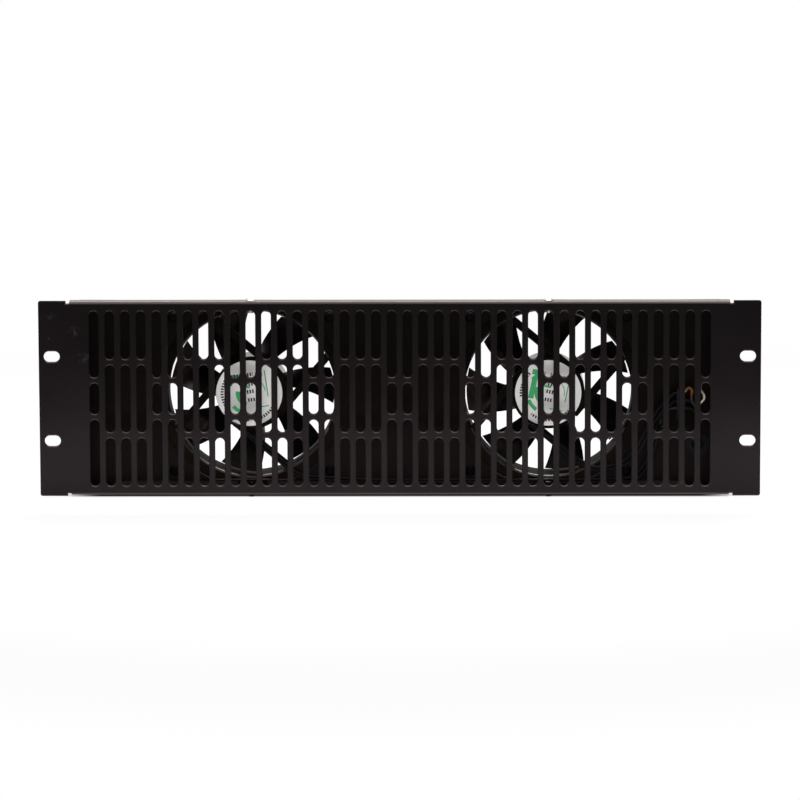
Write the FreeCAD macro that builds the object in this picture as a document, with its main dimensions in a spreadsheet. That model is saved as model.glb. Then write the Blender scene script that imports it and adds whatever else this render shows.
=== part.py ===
import FreeCAD, Part
import math
import os

import Sketcher
from FreeCAD import Placement, Rotation, Vector

# Rack fan tray, 3U high, for a 19 inch rack. Millimetres.
# X is the width, Y the depth (the front faces -Y) and Z is up. The origin is the
# centre of the four rack slots, on the rear face of the ears.

os.makedirs("parts", exist_ok=True)
doc = FreeCAD.newDocument("RackFanTray")
sheet = doc.addObject("Spreadsheet::Sheet", "Dims")

DRIVING = {
    # front panel
    "panel_width": 482.6, "panel_height": 132.55, "sheet_thick": 1.5,
    "tray_width": 441.0, "flange_inset": 0.75, "flange_depth": 9.8,
    "bend_outer": 2.0, "bend_inner": 0.5, "ear_corner": 1.5,
    "notch_width": 2.3, "notch_depth": 1.8,
    "rack_pitch_x": 465.1, "rack_pitch_z": 57.15, "rack_slot_width": 7.1, "rack_slot_length": 10.7,
    # grille
    "slot_width": 6.35, "slot_pitch": 10.48, "slot_margin": 7.0, "slot_bridge": 4.0,
    "near_bridge": 12.4, "far_bridge": 24.8,
    # flange screws
    "flange_screw_back": 5.0, "clear_hole": 4.5,
    # fan plate
    "plate_gap": 18.0, "plate_width": 430.0, "plate_height": 127.8, "plate_waist": 120.1,
    "waist_start": 187.0, "waist_end": 191.0, "tab_width": 20.0, "plate_clear": 0.2,
    "window_round": 64.0, "window_flat": 58.2,
    "grommet_hole": 12.0, "grommet_x": 200.0, "grommet_z": -34.0,
    "block_x": 188.1, "block_z": -4.2, "stud_x": 178.4, "stud_z": -27.5, "small_hole": 3.2,
    # fan
    "fan_x": 99.56, "fan_size": 119.0, "fan_depth": 25.4, "fan_corner": 4.0, "fan_hole_pitch": 104.8,
    "fan_flange": 4.0, "throat_radius": 56.2, "throat_wall": 2.4, "lip_chamfer": 1.4,
    "base_radius": 24.3, "base_front": 1.0, "base_thick": 2.0,
    "strut_offset": 22.8, "strut_width": 5.0, "strut_thick": 2.4, "strut_reach": 53.5,
    "strut_turn": 50.0,
    "label_radius": 22.3, "label_thick": 0.2, "left_label_shift": -2.0, "right_label_shift": 0.0,
    # motor
    "shaft_front": 3.2, "front_bearing_place": 4.4, "rear_bearing_place": 13.6,
    "tube_outer": 4.0, "tube_inner": 3.0, "tube_front": 1.2, "tube_back": 19.0,
    "shaft_radius": 1.5, "bearing_clear": 0.03, "bearing_length": 5.0,
    "core_radius": 20.0, "core_front": 7.2, "core_length": 8.0, "core_ring": 8.0,
    "neck_width": 7.0, "shoe_thick": 3.0, "shoe_gap": 3.0, "coil_wall": 2.6,
    "coil_gap": 0.6, "coil_length": 7.0,
    "rotor_inner": 20.4, "rotor_outer": 22.9, "rotor_front": 5.6, "rotor_length": 11.0,
    # impeller
    "hub_radius": 24.6, "hub_front": 4.0, "hub_back": 24.2, "hub_floor": 2.2, "hub_chamfer": 0.8,
    "boss_radius": 4.5, "boss_front": 19.5, "shaft_seat": 22.9, "blade_count": 7,
    "tip_radius": 55.0, "blade_edge": 0.9,
    "root_place": 23.1, "root_chord": 12.6, "root_front": 5.2, "root_rear": 22.6,
    "root_back_curve": 19.7, "root_face_curve": 42.0, "root_sweep": 0.0,
    "mid_place": 40.0, "mid_chord": 20.6, "mid_front": 5.6, "mid_rear": 21.6,
    "mid_back_curve": 32.8, "mid_face_curve": 69.0, "mid_sweep": 8.0,
    "tip_place": 57.0, "tip_chord": 28.5, "tip_front": 6.4, "tip_rear": 20.6,
    "tip_back_curve": 59.0, "tip_face_curve": 127.0, "tip_sweep": 15.5,
    "left_rotor_turn": 21.3, "right_rotor_turn": -0.2,
    # fasteners
    "screw_radius": 2.0, "screw_head": 3.4, "screw_head_tall": 1.6, "screw_crown": 0.9,
    "flange_screw_long": 8.0, "fan_screw_long": 10.0, "nut_flats": 7.0, "nut_tall": 2.4,
    "clip_radius": 2.7, "clip_thick": 0.5, "clip_place": 3.6,
    # terminal block
    "way_pitch": 5.0, "block_wide": 5.0, "block_tall": 20.2, "block_deep": 8.5, "block_over": 3.0,
    "way_bore": 2.0, "screw_well": 1.3, "well_sunk": 0.5, "screw_play": 0.1,
    "insert_length": 4.0, "insert_bore": 1.1, "ferrule_radius": 0.8, "ferrule_length": 2.4,
    "fixing_hole": 1.1, "fixing_drop": 3.8, "block_screw": 1.0, "block_screw_head": 2.0,
    "block_head_tall": 1.2, "block_screw_over": 3.0, "block_nut": 4.0, "block_nut_tall": 2.0,
    # earth stud, grommet and cable tie
    "stud_radius": 1.55, "stud_length": 9.0, "stud_head_tall": 1.0, "ring_outer": 3.4, "ring_thick": 0.8,
    "earth_nut": 5.5, "tail_front": 1.4, "tail_above": 0.2,
    "grommet_inner": 4.0, "grommet_flange": 8.0, "grommet_lip": 1.5, "grommet_web": 1.0,
    "tie_x": 199.65, "tie_y": 13.62, "tie_z": -25.2, "tie_inner": 2.25, "tie_thick": 0.6, "tie_wide": 2.5,
    "tie_head_wide": 3.6, "tie_head_deep": 2.6, "tie_head_tall": 4.2, "tail_half": 0.5,
    # wires
    "core_wire": 0.95, "supply_wire": 1.0, "sleeve_radius": 1.25,
    "lead_angle": 241.8, "lead_rise": 4.0, "lead_straight": 1.2, "lead_entry": 0.4, "lead_gap": 0.02,
}
for row, (name, value) in enumerate(DRIVING.items(), start=1):
    sheet.set(f"A{row}", name)
    sheet.set(f"B{row}", str(value))
    sheet.setAlias(f"B{row}", name)
doc.recompute()


def dim(name):
    return float(sheet.get(name))


# ---------------------------------------------------------------- sketch helpers

def add_body(label):
    body = doc.addObject("PartDesign::Body", label)
    body.Label = label
    return body


def origin_part(body, role):
    return next(item for item in body.Origin.OriginFeatures if item.Role == role)


def add_sketch(body, name, plane, offset="0"):
    sketch = body.newObject("Sketcher::SketchObject", name)
    sketch.AttachmentSupport = [(origin_part(body, plane), "")]
    sketch.MapMode = "FlatFace"
    sketch.setExpression("AttachmentOffset.Base.z", offset)
    return sketch


def drive(sketch, kind, geometry, formula, value):
    """Adds one dimension whose value follows a formula on the sheet."""
    index = sketch.addConstraint(Sketcher.Constraint(kind, *geometry, value))
    sketch.renameConstraint(index, f"size_{index}")
    sketch.setExpression(f"Constraints.size_{index}", formula)


def place(sketch, line, end, x_formula, y_formula):
    """Ties one end of a line or a circle's centre to the sheet."""
    point = sketch.getPoint(line, end)
    for kind, formula, value, axis in (("DistanceX", x_formula, point.x, -2),
                                       ("DistanceY", y_formula, point.y, -1)):
        if formula == "0":
            sketch.addConstraint(Sketcher.Constraint("PointOnObject", line, end, axis))
        else:
            drive(sketch, kind, (-1, 1, line, end), formula, value)


def number(formula):
    return float(sheet.evalExpression(formula))


def add_polygon(sketch, corners):
    """A closed outline through corners given as pairs of formulas."""
    points = [Vector(number(x), number(y), 0) for x, y in corners]
    first = sketch.GeometryCount
    count = len(points)
    for index in range(count):
        sketch.addGeometry(Part.LineSegment(points[index], points[(index + 1) % count]), False)
    for index in range(count):
        following = first + (index + 1) % count
        sketch.addConstraint(Sketcher.Constraint("Coincident", first + index, 2, following, 1))
    for index, (x, y) in enumerate(corners):
        place(sketch, first + index, 1, x, y)


def add_box(sketch, left, right, low, high):
    add_polygon(sketch, [(left, low), (right, low), (right, high), (left, high)])


def add_circle(sketch, radius, x="0", y="0"):
    centre = Vector(number(x), number(y), 0)
    circle = sketch.addGeometry(Part.Circle(centre, Vector(0, 0, 1), number(radius)), False)
    drive(sketch, "Radius", (circle,), radius, number(radius))
    place(sketch, circle, 3, x, y)


def add_obround(sketch, x, low, high, width, upright=True):
    """A slot with round ends; low and high are the ends of its length, x its centre across."""
    radius = number(width) / 2
    across = number(x)
    turn = (lambda a, b: Vector(a, b, 0)) if upright else (lambda a, b: Vector(b, a, 0))
    start, stop = number(low) + radius, number(high) - radius
    high_arc = (0, math.pi) if upright else (-math.pi / 2, math.pi / 2)
    low_arc = (math.pi, 2 * math.pi) if upright else (math.pi / 2, 3 * math.pi / 2)
    arcs = []
    for end, sweep in ((stop, high_arc), (start, low_arc)):
        circle = Part.Circle(turn(across, end), Vector(0, 0, 1), radius)
        arcs.append(sketch.addGeometry(Part.ArcOfCircle(circle, *sweep), False))
    arc_a, arc_b = arcs
    side_a = sketch.addGeometry(Part.LineSegment(sketch.getPoint(arc_a, 2), sketch.getPoint(arc_b, 1)), False)
    side_b = sketch.addGeometry(Part.LineSegment(sketch.getPoint(arc_b, 2), sketch.getPoint(arc_a, 1)), False)
    joints = ((arc_a, 2, side_a, 1), (arc_b, 1, side_a, 2), (arc_b, 2, side_b, 1), (arc_a, 1, side_b, 2))
    for arc, end, side, start_end in joints:
        sketch.addConstraint(Sketcher.Constraint("Tangent", arc, end, side, start_end))
    drive(sketch, "Radius", (arc_a,), f"{width} / 2", radius)
    for arc, end in ((arc_a, f"{high} - {width} / 2"), (arc_b, f"{low} + {width} / 2")):
        place(sketch, arc, 3, *((x, end) if upright else (end, x)))


def add_pad(body, sketch, name, length, reverse=False, both=False):
    pad = body.newObject("PartDesign::Pad", name)
    pad.Profile = sketch
    pad.setExpression("Length", length)
    pad.Reversed = reverse
    pad.Midplane = both
    body.Tip = pad
    doc.recompute()
    return pad


def add_pocket(body, sketch, name, length):
    """Cuts to both sides of the sketch, length in all."""
    before = body.Shape.Volume
    pocket = body.newObject("PartDesign::Pocket", name)
    pocket.Profile = sketch
    pocket.Midplane = True
    pocket.setExpression("Length", length)
    body.Tip = pocket
    doc.recompute()
    if not body.Shape.Volume < before - 1e-6:
        raise RuntimeError(f"{name} cuts nothing")
    return pocket


def round_edges(body, name, radius, wanted, kind="Fillet"):
    """Rounds (or chamfers) every edge of the body whose middle passes the test."""
    base = body.Tip
    names = [f"Edge{n}" for n, edge in enumerate(base.Shape.Edges, 1) if wanted(edge)]
    if not names:
        raise RuntimeError(f"{name} finds no edge")
    feature = body.newObject(f"PartDesign::{kind}", name)
    feature.Base = (base, names)
    feature.setExpression("Radius" if kind == "Fillet" else "Size", radius)
    body.Tip = feature
    doc.recompute()
    return feature


def middle(edge):
    return edge.valueAt((edge.FirstParameter + edge.LastParameter) / 2)


# ---------------------------------------------------------------- front panel

def make_front_panel():
    body = add_body("front_panel")
    half_tray = "Dims.tray_width / 2"
    flange_out = "Dims.panel_height / 2 - Dims.flange_inset"
    flange_in = f"{flange_out} - Dims.sheet_thick"
    flange_end = "Dims.flange_depth - Dims.sheet_thick"

    profile = add_sketch(body, "panel_profile", "YZ_Plane")
    add_polygon(profile, [("-Dims.sheet_thick", f"-({flange_out})"), (flange_end, f"-({flange_out})"),
                          (flange_end, f"-({flange_in})"), ("0", f"-({flange_in})"),
                          ("0", flange_in), (flange_end, flange_in),
                          (flange_end, flange_out), ("-Dims.sheet_thick", flange_out)])
    add_pad(body, profile, "panel_channel", "Dims.tray_width", both=True)
    out, inside = number(flange_out), number(flange_in)
    thick = dim("sheet_thick")
    round_edges(body, "outer_bends", "Dims.bend_outer",
                lambda e: abs(abs(middle(e).z) - out) < 0.01 and abs(middle(e).y + thick) < 0.01
                and abs(middle(e).x) < 1)
    round_edges(body, "inner_bends", "Dims.bend_inner",
                lambda e: abs(abs(middle(e).z) - inside) < 0.01 and abs(middle(e).y) < 0.01
                and abs(middle(e).x) < 1)

    ears = add_sketch(body, "ear_outline", "XZ_Plane")
    edge, half_tall = "Dims.panel_width / 2", "Dims.panel_height / 2"
    notch_low = f"{half_tall} - Dims.notch_depth"
    for side in ("", "-"):
        inner, outer = f"{side}({half_tray})", f"{side}({edge})"
        notch = f"{side}({half_tray} + Dims.notch_width)"
        add_polygon(ears, [(inner, f"-({notch_low})"), (notch, f"-({notch_low})"), (notch, f"-{half_tall}"),
                           (outer, f"-{half_tall}"), (outer, half_tall), (notch, half_tall),
                           (notch, notch_low), (inner, notch_low)])
    add_pad(body, ears, "ears", "Dims.sheet_thick")
    far_x, far_z = number(edge), number(half_tall)
    round_edges(body, "ear_corners", "Dims.ear_corner",
                lambda e: abs(abs(middle(e).x) - far_x) < 0.01 and abs(abs(middle(e).z) - far_z) < 0.01)

    # five columns make one group: the inner three have their bridges further apart
    grille = add_sketch(body, "slot_group", "XZ_Plane")
    slot_end = "(Dims.panel_height / 2 - Dims.slot_margin)"
    for column, bridge in enumerate(("near", "far", "far", "far", "near")):
        across = f"({column} - 19.5) * Dims.slot_pitch"
        cut_low = f"(Dims.{bridge}_bridge - Dims.slot_bridge / 2)"
        cut_high = f"(Dims.{bridge}_bridge + Dims.slot_bridge / 2)"
        for low, high in ((f"-{slot_end}", f"-{cut_high}"), (f"-{cut_low}", cut_low), (cut_high, slot_end)):
            add_obround(grille, across, low, high, "Dims.slot_width")
    slots = add_pocket(body, grille, "slots", "4 * Dims.sheet_thick")
    pattern = body.newObject("PartDesign::LinearPattern", "slot_pattern")
    pattern.Originals = [slots]
    pattern.Direction = (grille, ["H_Axis"])
    pattern.setExpression("Length", "35 * Dims.slot_pitch")
    pattern.Occurrences = 8
    body.Tip = pattern
    doc.recompute()

    rack = add_sketch(body, "rack_slot_outline", "XZ_Plane")
    for side in ("", "-"):
        for level in ("", "-"):
            centre = f"{side}Dims.rack_pitch_x / 2"
            add_obround(rack, f"{level}Dims.rack_pitch_z / 2", f"{centre} - Dims.rack_slot_length / 2",
                        f"{centre} + Dims.rack_slot_length / 2", "Dims.rack_slot_width", upright=False)
    add_pocket(body, rack, "rack_slots", "4 * Dims.sheet_thick")

    holes = add_sketch(body, "flange_hole_outline", "XY_Plane")
    for side in ("", "-"):
        add_circle(holes, "Dims.clear_hole / 2", f"{side}Dims.fan_x",
                   "Dims.flange_screw_back - Dims.sheet_thick")
    add_pocket(body, holes, "flange_holes", "Dims.panel_height + 10")
    return body


# ---------------------------------------------------------------- fan plate

def make_fan_plate():
    body = add_body("fan_plate")
    back = "Dims.plate_gap + Dims.sheet_thick"
    half = "Dims.plate_width / 2"
    lip = "Dims.plate_clear"
    profile = add_sketch(body, "plate_profile", "XY_Plane")
    add_polygon(profile, [(f"-{half}", lip), (f"-{half} + Dims.sheet_thick", lip),
                          (f"-{half} + Dims.sheet_thick", "Dims.plate_gap"),
                          (f"{half} - Dims.sheet_thick", "Dims.plate_gap"), (f"{half} - Dims.sheet_thick", lip),
                          (half, lip), (half, back), (f"-{half}", back)])
    add_pad(body, profile, "plate_channel", "Dims.plate_height", both=True)
    outer_x, outer_y = number(half), number(back)
    thick = dim("sheet_thick")
    round_edges(body, "plate_outer_bends", "Dims.bend_outer",
                lambda e: abs(abs(middle(e).x) - outer_x) < 0.01 and abs(middle(e).y - outer_y) < 0.01
                and abs(middle(e).z) < 1)
    round_edges(body, "plate_inner_bends", "Dims.bend_inner",
                lambda e: abs(abs(middle(e).x) - outer_x + thick) < 0.01
                and abs(middle(e).y - outer_y + thick) < 0.01 and abs(middle(e).z) < 1)

    # the edges above and below the fans step in, apart from the four tabs
    waist = add_sketch(body, "waist_outline", "XZ_Plane", "-Dims.plate_gap")
    low, beyond = "Dims.plate_waist / 2", "(Dims.plate_height / 2 + 2)"
    slope = "(Dims.waist_end - Dims.waist_start) / (Dims.plate_height - Dims.plate_waist)"
    wide = f"(Dims.waist_start + 2 * {slope} * ({beyond} - {low}))"
    tab_out, tab_in = "(Dims.fan_x + Dims.tab_width / 2)", "(Dims.fan_x - Dims.tab_width / 2)"
    for level in ("", "-"):
        for side in ("", "-"):
            inner, outer = f"{level}{low}", f"{level}{beyond}"
            add_polygon(waist, [(f"{side}{tab_out}", inner), (f"{side}Dims.waist_start", inner),
                                (f"{side}{wide}", outer), (f"{side}{tab_out}", outer)])
        add_box(waist, f"-{tab_in}", tab_in, *sorted((f"{level}{low}", f"{level}{beyond}"), key=number))
    add_pocket(body, waist, "waist", "6 * Dims.sheet_thick")

    for level, reverse in (("", True), ("-", False)):
        tabs = add_sketch(body, f"tab_outline_{'top' if reverse else 'bottom'}", "XY_Plane",
                          f"{level}Dims.plate_height / 2")
        for side in ("", "-"):
            ends = sorted((f"{side}{tab_in}", f"{side}{tab_out}"), key=number)
            add_box(tabs, *ends, lip, back)
        add_pad(body, tabs, f"tabs_{'top' if reverse else 'bottom'}", "Dims.sheet_thick", reverse=reverse)

    windows = add_sketch(body, "window_outline", "XZ_Plane", "-Dims.plate_gap")
    for side in (1, -1):
        add_window(windows, side)
    for side in ("", "-"):
        for dx in ("+", "-"):
            for dz in ("", "-"):
                add_circle(windows, "Dims.clear_hole / 2", f"{side}Dims.fan_x {dx} Dims.fan_hole_pitch / 2",
                           f"{dz}Dims.fan_hole_pitch / 2")
    add_circle(windows, "Dims.grommet_hole / 2", "Dims.grommet_x", "Dims.grommet_z")
    for x, z in (("Dims.block_x", "Dims.block_z - Dims.way_pitch - Dims.fixing_drop"),
                 ("Dims.stud_x", "Dims.stud_z")):
        add_circle(windows, "Dims.small_hole / 2", x, z)
    add_pocket(body, windows, "windows", "6 * Dims.sheet_thick")

    holes = add_sketch(body, "tab_hole_outline", "XY_Plane")
    for side in ("", "-"):
        add_circle(holes, "Dims.clear_hole / 2", f"{side}Dims.fan_x",
                   "Dims.flange_screw_back - Dims.sheet_thick")
    add_pocket(body, holes, "tab_holes", "Dims.panel_height + 10")
    return body


def add_window(sketch, side):
    """A round opening with four flats, in front of one fan."""
    centre = Vector(side * dim("fan_x"), 0, 0)
    radius, flat = dim("window_round"), dim("window_flat")
    reach = math.acos(flat / radius)
    sign = "" if side > 0 else "-"
    arcs = []
    for quarter in range(4):
        circle = Part.Circle(centre, Vector(0, 0, 1), radius)
        start = quarter * math.pi / 2 + reach
        stop = (quarter + 1) * math.pi / 2 - reach
        arcs.append(sketch.addGeometry(Part.ArcOfCircle(circle, start, stop), False))
    for quarter, arc in enumerate(arcs):
        following = arcs[(quarter + 1) % 4]
        flat_line = Part.LineSegment(sketch.getPoint(arc, 2), sketch.getPoint(following, 1))
        line = sketch.addGeometry(flat_line, False)
        sketch.addConstraint(Sketcher.Constraint("Coincident", arc, 2, line, 1))
        sketch.addConstraint(Sketcher.Constraint("Coincident", line, 2, following, 1))
        upright = quarter in (1, 3)
        sketch.addConstraint(Sketcher.Constraint("Vertical" if upright else "Horizontal", line))
        point = sketch.getPoint(line, 1)
        if upright:
            offset = "-" if quarter == 1 else "+"
            place_x = f"{sign}Dims.fan_x {offset} Dims.window_flat"
            drive(sketch, "DistanceX", (-1, 1, line, 1), place_x, point.x)
        else:
            offset = "" if quarter == 0 else "-"
            drive(sketch, "DistanceY", (-1, 1, line, 1), f"{offset}Dims.window_flat", point.y)
    drive(sketch, "Radius", (arcs[0],), "Dims.window_round", radius)
    place(sketch, arcs[0], 3, f"{sign}Dims.fan_x", "0")
    for arc in arcs[1:]:
        sketch.addConstraint(Sketcher.Constraint("Coincident", arcs[0], 3, arc, 3))
        sketch.addConstraint(Sketcher.Constraint("Equal", arcs[0], arc))


# ---------------------------------------------------------------- solids and groups

BACKWARD = Rotation(Vector(1, 0, 0), -90)
FAN_FACE = dim("plate_gap") + dim("sheet_thick")
SIDES = {"left": -1, "right": 1}


def add_cylinder(name, radius, length, base, turn=BACKWARD):
    solid = doc.addObject("Part::Cylinder", name)
    solid.setExpression("Radius", radius)
    solid.setExpression("Height", length)
    solid.Placement = Placement(base, turn)
    return solid


def add_solid_box(name, sizes, base, turn=Rotation()):
    solid = doc.addObject("Part::Box", name)
    for side, formula in zip(("Length", "Width", "Height"), sizes):
        solid.setExpression(side, formula)
    solid.Placement = Placement(base, turn)
    return solid


def subtract(name, body, tool):
    cut = doc.addObject("Part::Cut", name)
    cut.Base, cut.Tool = body, tool
    return cut


def join(name, solids, kind="Part::MultiFuse"):
    joined = doc.addObject(kind, name)
    if kind == "Part::Compound":
        joined.Links = solids
    else:
        joined.Shapes = solids
    joined.Label = name
    return joined


def add_ring(name, outer, inner, length, base, turn=BACKWARD):
    ring = subtract(name, add_cylinder(f"{name}_body", outer, length, base, turn),
                    add_cylinder(f"{name}_bore", inner, length, base, turn))
    ring.Label = name
    return ring


def add_screw(name, length, base, turn):
    """A pan head that sits at the base point, its shank going on along the turned Z axis."""
    shank = add_cylinder(f"{name}_shank", "Dims.screw_radius", length, base, turn)
    low = turn.multVec(Vector(0, 0, -(dim("screw_head_tall") - dim("screw_crown"))))
    high = turn.multVec(Vector(0, 0, -dim("screw_head_tall")))
    head = add_cylinder(f"{name}_head", "Dims.screw_head", "Dims.screw_head_tall - Dims.screw_crown",
                        base + low, turn)
    crown = doc.addObject("Part::Cone", f"{name}_crown")
    crown.setExpression("Radius1", "Dims.screw_head - Dims.screw_crown")
    crown.setExpression("Radius2", "Dims.screw_head")
    crown.setExpression("Height", "Dims.screw_crown")
    crown.Placement = Placement(base + high, turn)
    return join(name, [shank, head, crown])


def add_nut(name, base, turn):
    blank = doc.addObject("Part::Prism", f"{name}_blank")
    blank.Polygon = 6
    blank.setExpression("Circumradius", "Dims.nut_flats / sqrt(3)")
    blank.setExpression("Height", "Dims.nut_tall")
    blank.Placement = Placement(base, turn)
    bore = add_cylinder(f"{name}_bore", "Dims.screw_radius", "Dims.nut_tall", base, turn)
    return subtract(name, blank, bore)


def make_flange_fasteners():
    """Four screws through the panel's flanges and the plate's tabs, with nuts inside."""
    depth = dim("flange_screw_back") - dim("sheet_thick")
    outside = dim("panel_height") / 2 - dim("flange_inset")
    inside = dim("plate_height") / 2 - dim("sheet_thick")
    screws, nuts = [], []
    for side in (-1, 1):
        for level, turn in ((1, Rotation(Vector(1, 0, 0), 180)), (-1, Rotation())):
            spot = Vector(side * dim("fan_x"), depth, level * outside)
            index = len(screws) + 1
            screws.append(add_screw(f"flange_screw_{index}", "Dims.flange_screw_long", spot, turn))
            nuts.append(add_nut(f"flange_nut_{index}", Vector(spot.x, depth, level * inside), turn))
    join("flange_screws", screws, "Part::Compound")
    join("flange_nuts", nuts, "Part::Compound")


def make_fan_fasteners(side):
    """Four screws per fan, through the plate and the frame's front flange."""
    half = dim("fan_hole_pitch") / 2
    screws, nuts = [], []
    for dx in (-half, half):
        for dz in (-half, half):
            spot = Vector(SIDES[side] * dim("fan_x") + dx, dim("plate_gap"), dz)
            index = len(screws) + 1
            screws.append(add_screw(f"{side}_fan_screw_{index}", "Dims.fan_screw_long", spot, BACKWARD))
            rear = Vector(spot.x, FAN_FACE + dim("fan_flange"), dz)
            nuts.append(add_nut(f"{side}_fan_nut_{index}", rear, BACKWARD))
    join(f"{side}_fan_screws", screws, "Part::Compound")
    join(f"{side}_fan_nuts", nuts, "Part::Compound")


# ---------------------------------------------------------------- fan

def fan_point(side, x=0.0, back=0.0, z=0.0):
    return Vector(SIDES[side] * dim("fan_x") + x, FAN_FACE + back, z)


def seat_on_fan(body, side):
    sign = "-" if SIDES[side] < 0 else ""
    body.setExpression("Placement.Base.x", f"{sign}Dims.fan_x")
    body.setExpression("Placement.Base.y", "Dims.plate_gap + Dims.sheet_thick")


def make_fan_frame(side):
    body = add_body(f"{side}_fan_frame")
    square = add_sketch(body, "frame_square", "XZ_Plane")
    half = "Dims.fan_size / 2"
    add_box(square, f"-{half}", half, f"-{half}", half)
    add_pad(body, square, "frame_block", "Dims.fan_depth", reverse=True)
    edge, deep = number(half), dim("fan_depth")
    round_edges(body, "frame_corners", "Dims.fan_corner",
                lambda e: abs(abs(middle(e).x) - edge) < 0.01 and abs(abs(middle(e).z) - edge) < 0.01)

    waist = add_sketch(body, "waist_profile", "XY_Plane")
    add_box(waist, "Dims.throat_radius + Dims.throat_wall", "Dims.fan_size", "Dims.fan_flange",
            "Dims.fan_depth - Dims.fan_flange")
    groove = body.newObject("PartDesign::Groove", "waist")
    groove.Profile = waist
    groove.ReferenceAxis = (waist, ["V_Axis"])
    groove.Angle = 360
    body.Tip = groove
    doc.recompute()

    throat = add_sketch(body, "throat_outline", "XZ_Plane")
    add_circle(throat, "Dims.throat_radius")
    add_pocket(body, throat, "throat", "3 * Dims.fan_depth")
    round_edges(body, "throat_lips", "Dims.lip_chamfer",
                lambda e: isinstance(e.Curve, Part.Circle) and abs(e.Curve.Radius - dim("throat_radius")) < 0.01
                and (abs(middle(e).y) < 0.01 or abs(middle(e).y - deep) < 0.01), kind="Chamfer")

    base = add_sketch(body, "base_outline", "XZ_Plane", "-Dims.base_front")
    add_circle(base, "Dims.base_radius")
    add_pad(body, base, "base", "Dims.base_thick", reverse=True)

    strut = add_sketch(body, "strut_outline", "XZ_Plane", "-Dims.base_front")
    low, high = ("Dims.strut_offset - Dims.strut_width / 2", "Dims.strut_offset + Dims.strut_width / 2")
    add_box(strut, "-Dims.strut_reach", "0", low, high)
    strut.setExpression("AttachmentOffset.Rotation.Angle", "Dims.strut_turn")
    first = add_pad(body, strut, "strut", "Dims.strut_thick", reverse=True)
    struts = body.newObject("PartDesign::PolarPattern", "struts")
    struts.Originals = [first]
    struts.Axis = (origin_part(body, "Y_Axis"), [""])
    struts.Angle = 360
    struts.Occurrences = 4
    body.Tip = struts
    doc.recompute()

    bore = add_sketch(body, "tube_seat_outline", "XZ_Plane")
    add_circle(bore, "Dims.tube_outer")
    for dx in ("", "-"):
        for dz in ("", "-"):
            add_circle(bore, "Dims.clear_hole / 2",
                       f"{dx}Dims.fan_hole_pitch / 2", f"{dz}Dims.fan_hole_pitch / 2")
    add_pocket(body, bore, "holes", "3 * Dims.fan_depth")
    seat_on_fan(body, side)
    return body


def blade_section(body, station):
    """One closed blade section: rear and front ends joined by a back and a face arc."""
    def word(item):
        return f"Dims.{station}_{item}"
    sketch = body.newObject("Sketcher::SketchObject", f"blade_{station}")
    sketch.AttachmentSupport = [(origin_part(body, "XY_Plane"), "")]
    sketch.MapMode = "FlatFace"
    sweep = math.radians(number(word("sweep")))
    away = number(word("place"))
    sketch.AttachmentOffset = Placement(Vector(away * math.sin(sweep), 0, away * math.cos(sweep)),
                                        Rotation(Vector(0, 1, 0), math.degrees(sweep)))
    sketch.setExpression("AttachmentOffset.Base.x", f"{word('place')} * sin({word('sweep')} * 1 deg)")
    sketch.setExpression("AttachmentOffset.Base.z", f"{word('place')} * cos({word('sweep')} * 1 deg)")
    lead, trail = f"{word('chord')} / 2", f"-{word('chord')} / 2"
    corners = [(lead, word("rear")), (trail, f"{word('front')} + Dims.blade_edge"), (trail, word("front")),
               (lead, f"{word('rear')} - Dims.blade_edge")]
    spots = [Vector(number(x), number(y), 0) for x, y in corners]
    back = sketch.addGeometry(arc_between(spots[0], spots[1], number(word("back_curve"))), False)
    end = sketch.addGeometry(Part.LineSegment(spots[1], spots[2]), False)
    face = sketch.addGeometry(arc_between(spots[2], spots[3], -number(word("face_curve"))), False)
    nose = sketch.addGeometry(Part.LineSegment(spots[3], spots[0]), False)
    ends = [nearest_end(sketch, back, spots[0]), nearest_end(sketch, back, spots[1]),
            nearest_end(sketch, face, spots[2]), nearest_end(sketch, face, spots[3])]
    sketch.addConstraint(Sketcher.Constraint("Coincident", back, ends[1], end, 1))
    sketch.addConstraint(Sketcher.Constraint("Coincident", end, 2, face, ends[2]))
    sketch.addConstraint(Sketcher.Constraint("Coincident", face, ends[3], nose, 1))
    sketch.addConstraint(Sketcher.Constraint("Coincident", nose, 2, back, ends[0]))
    for line, line_end, (x, y) in ((nose, 2, corners[0]), (end, 1, corners[1]),
                                   (end, 2, corners[2]), (nose, 1, corners[3])):
        place(sketch, line, line_end, x, y)
    drive(sketch, "Radius", (back,), word("back_curve"), number(word("back_curve")))
    drive(sketch, "Radius", (face,), word("face_curve"), number(word("face_curve")))
    return sketch


def nearest_end(sketch, curve, spot):
    return 1 if (sketch.getPoint(curve, 1) - spot).Length < (sketch.getPoint(curve, 2) - spot).Length else 2


def arc_between(start, stop, radius):
    """The shorter arc between two points; a positive radius bulges to the right of start to stop."""
    chord = stop - start
    sagitta = abs(radius) - math.sqrt(radius * radius - chord.Length ** 2 / 4)
    side = Vector(chord.y, -chord.x, 0).normalize() * math.copysign(sagitta, radius)
    return Part.Arc(start, (start + stop) * 0.5 + side, stop)


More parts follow.
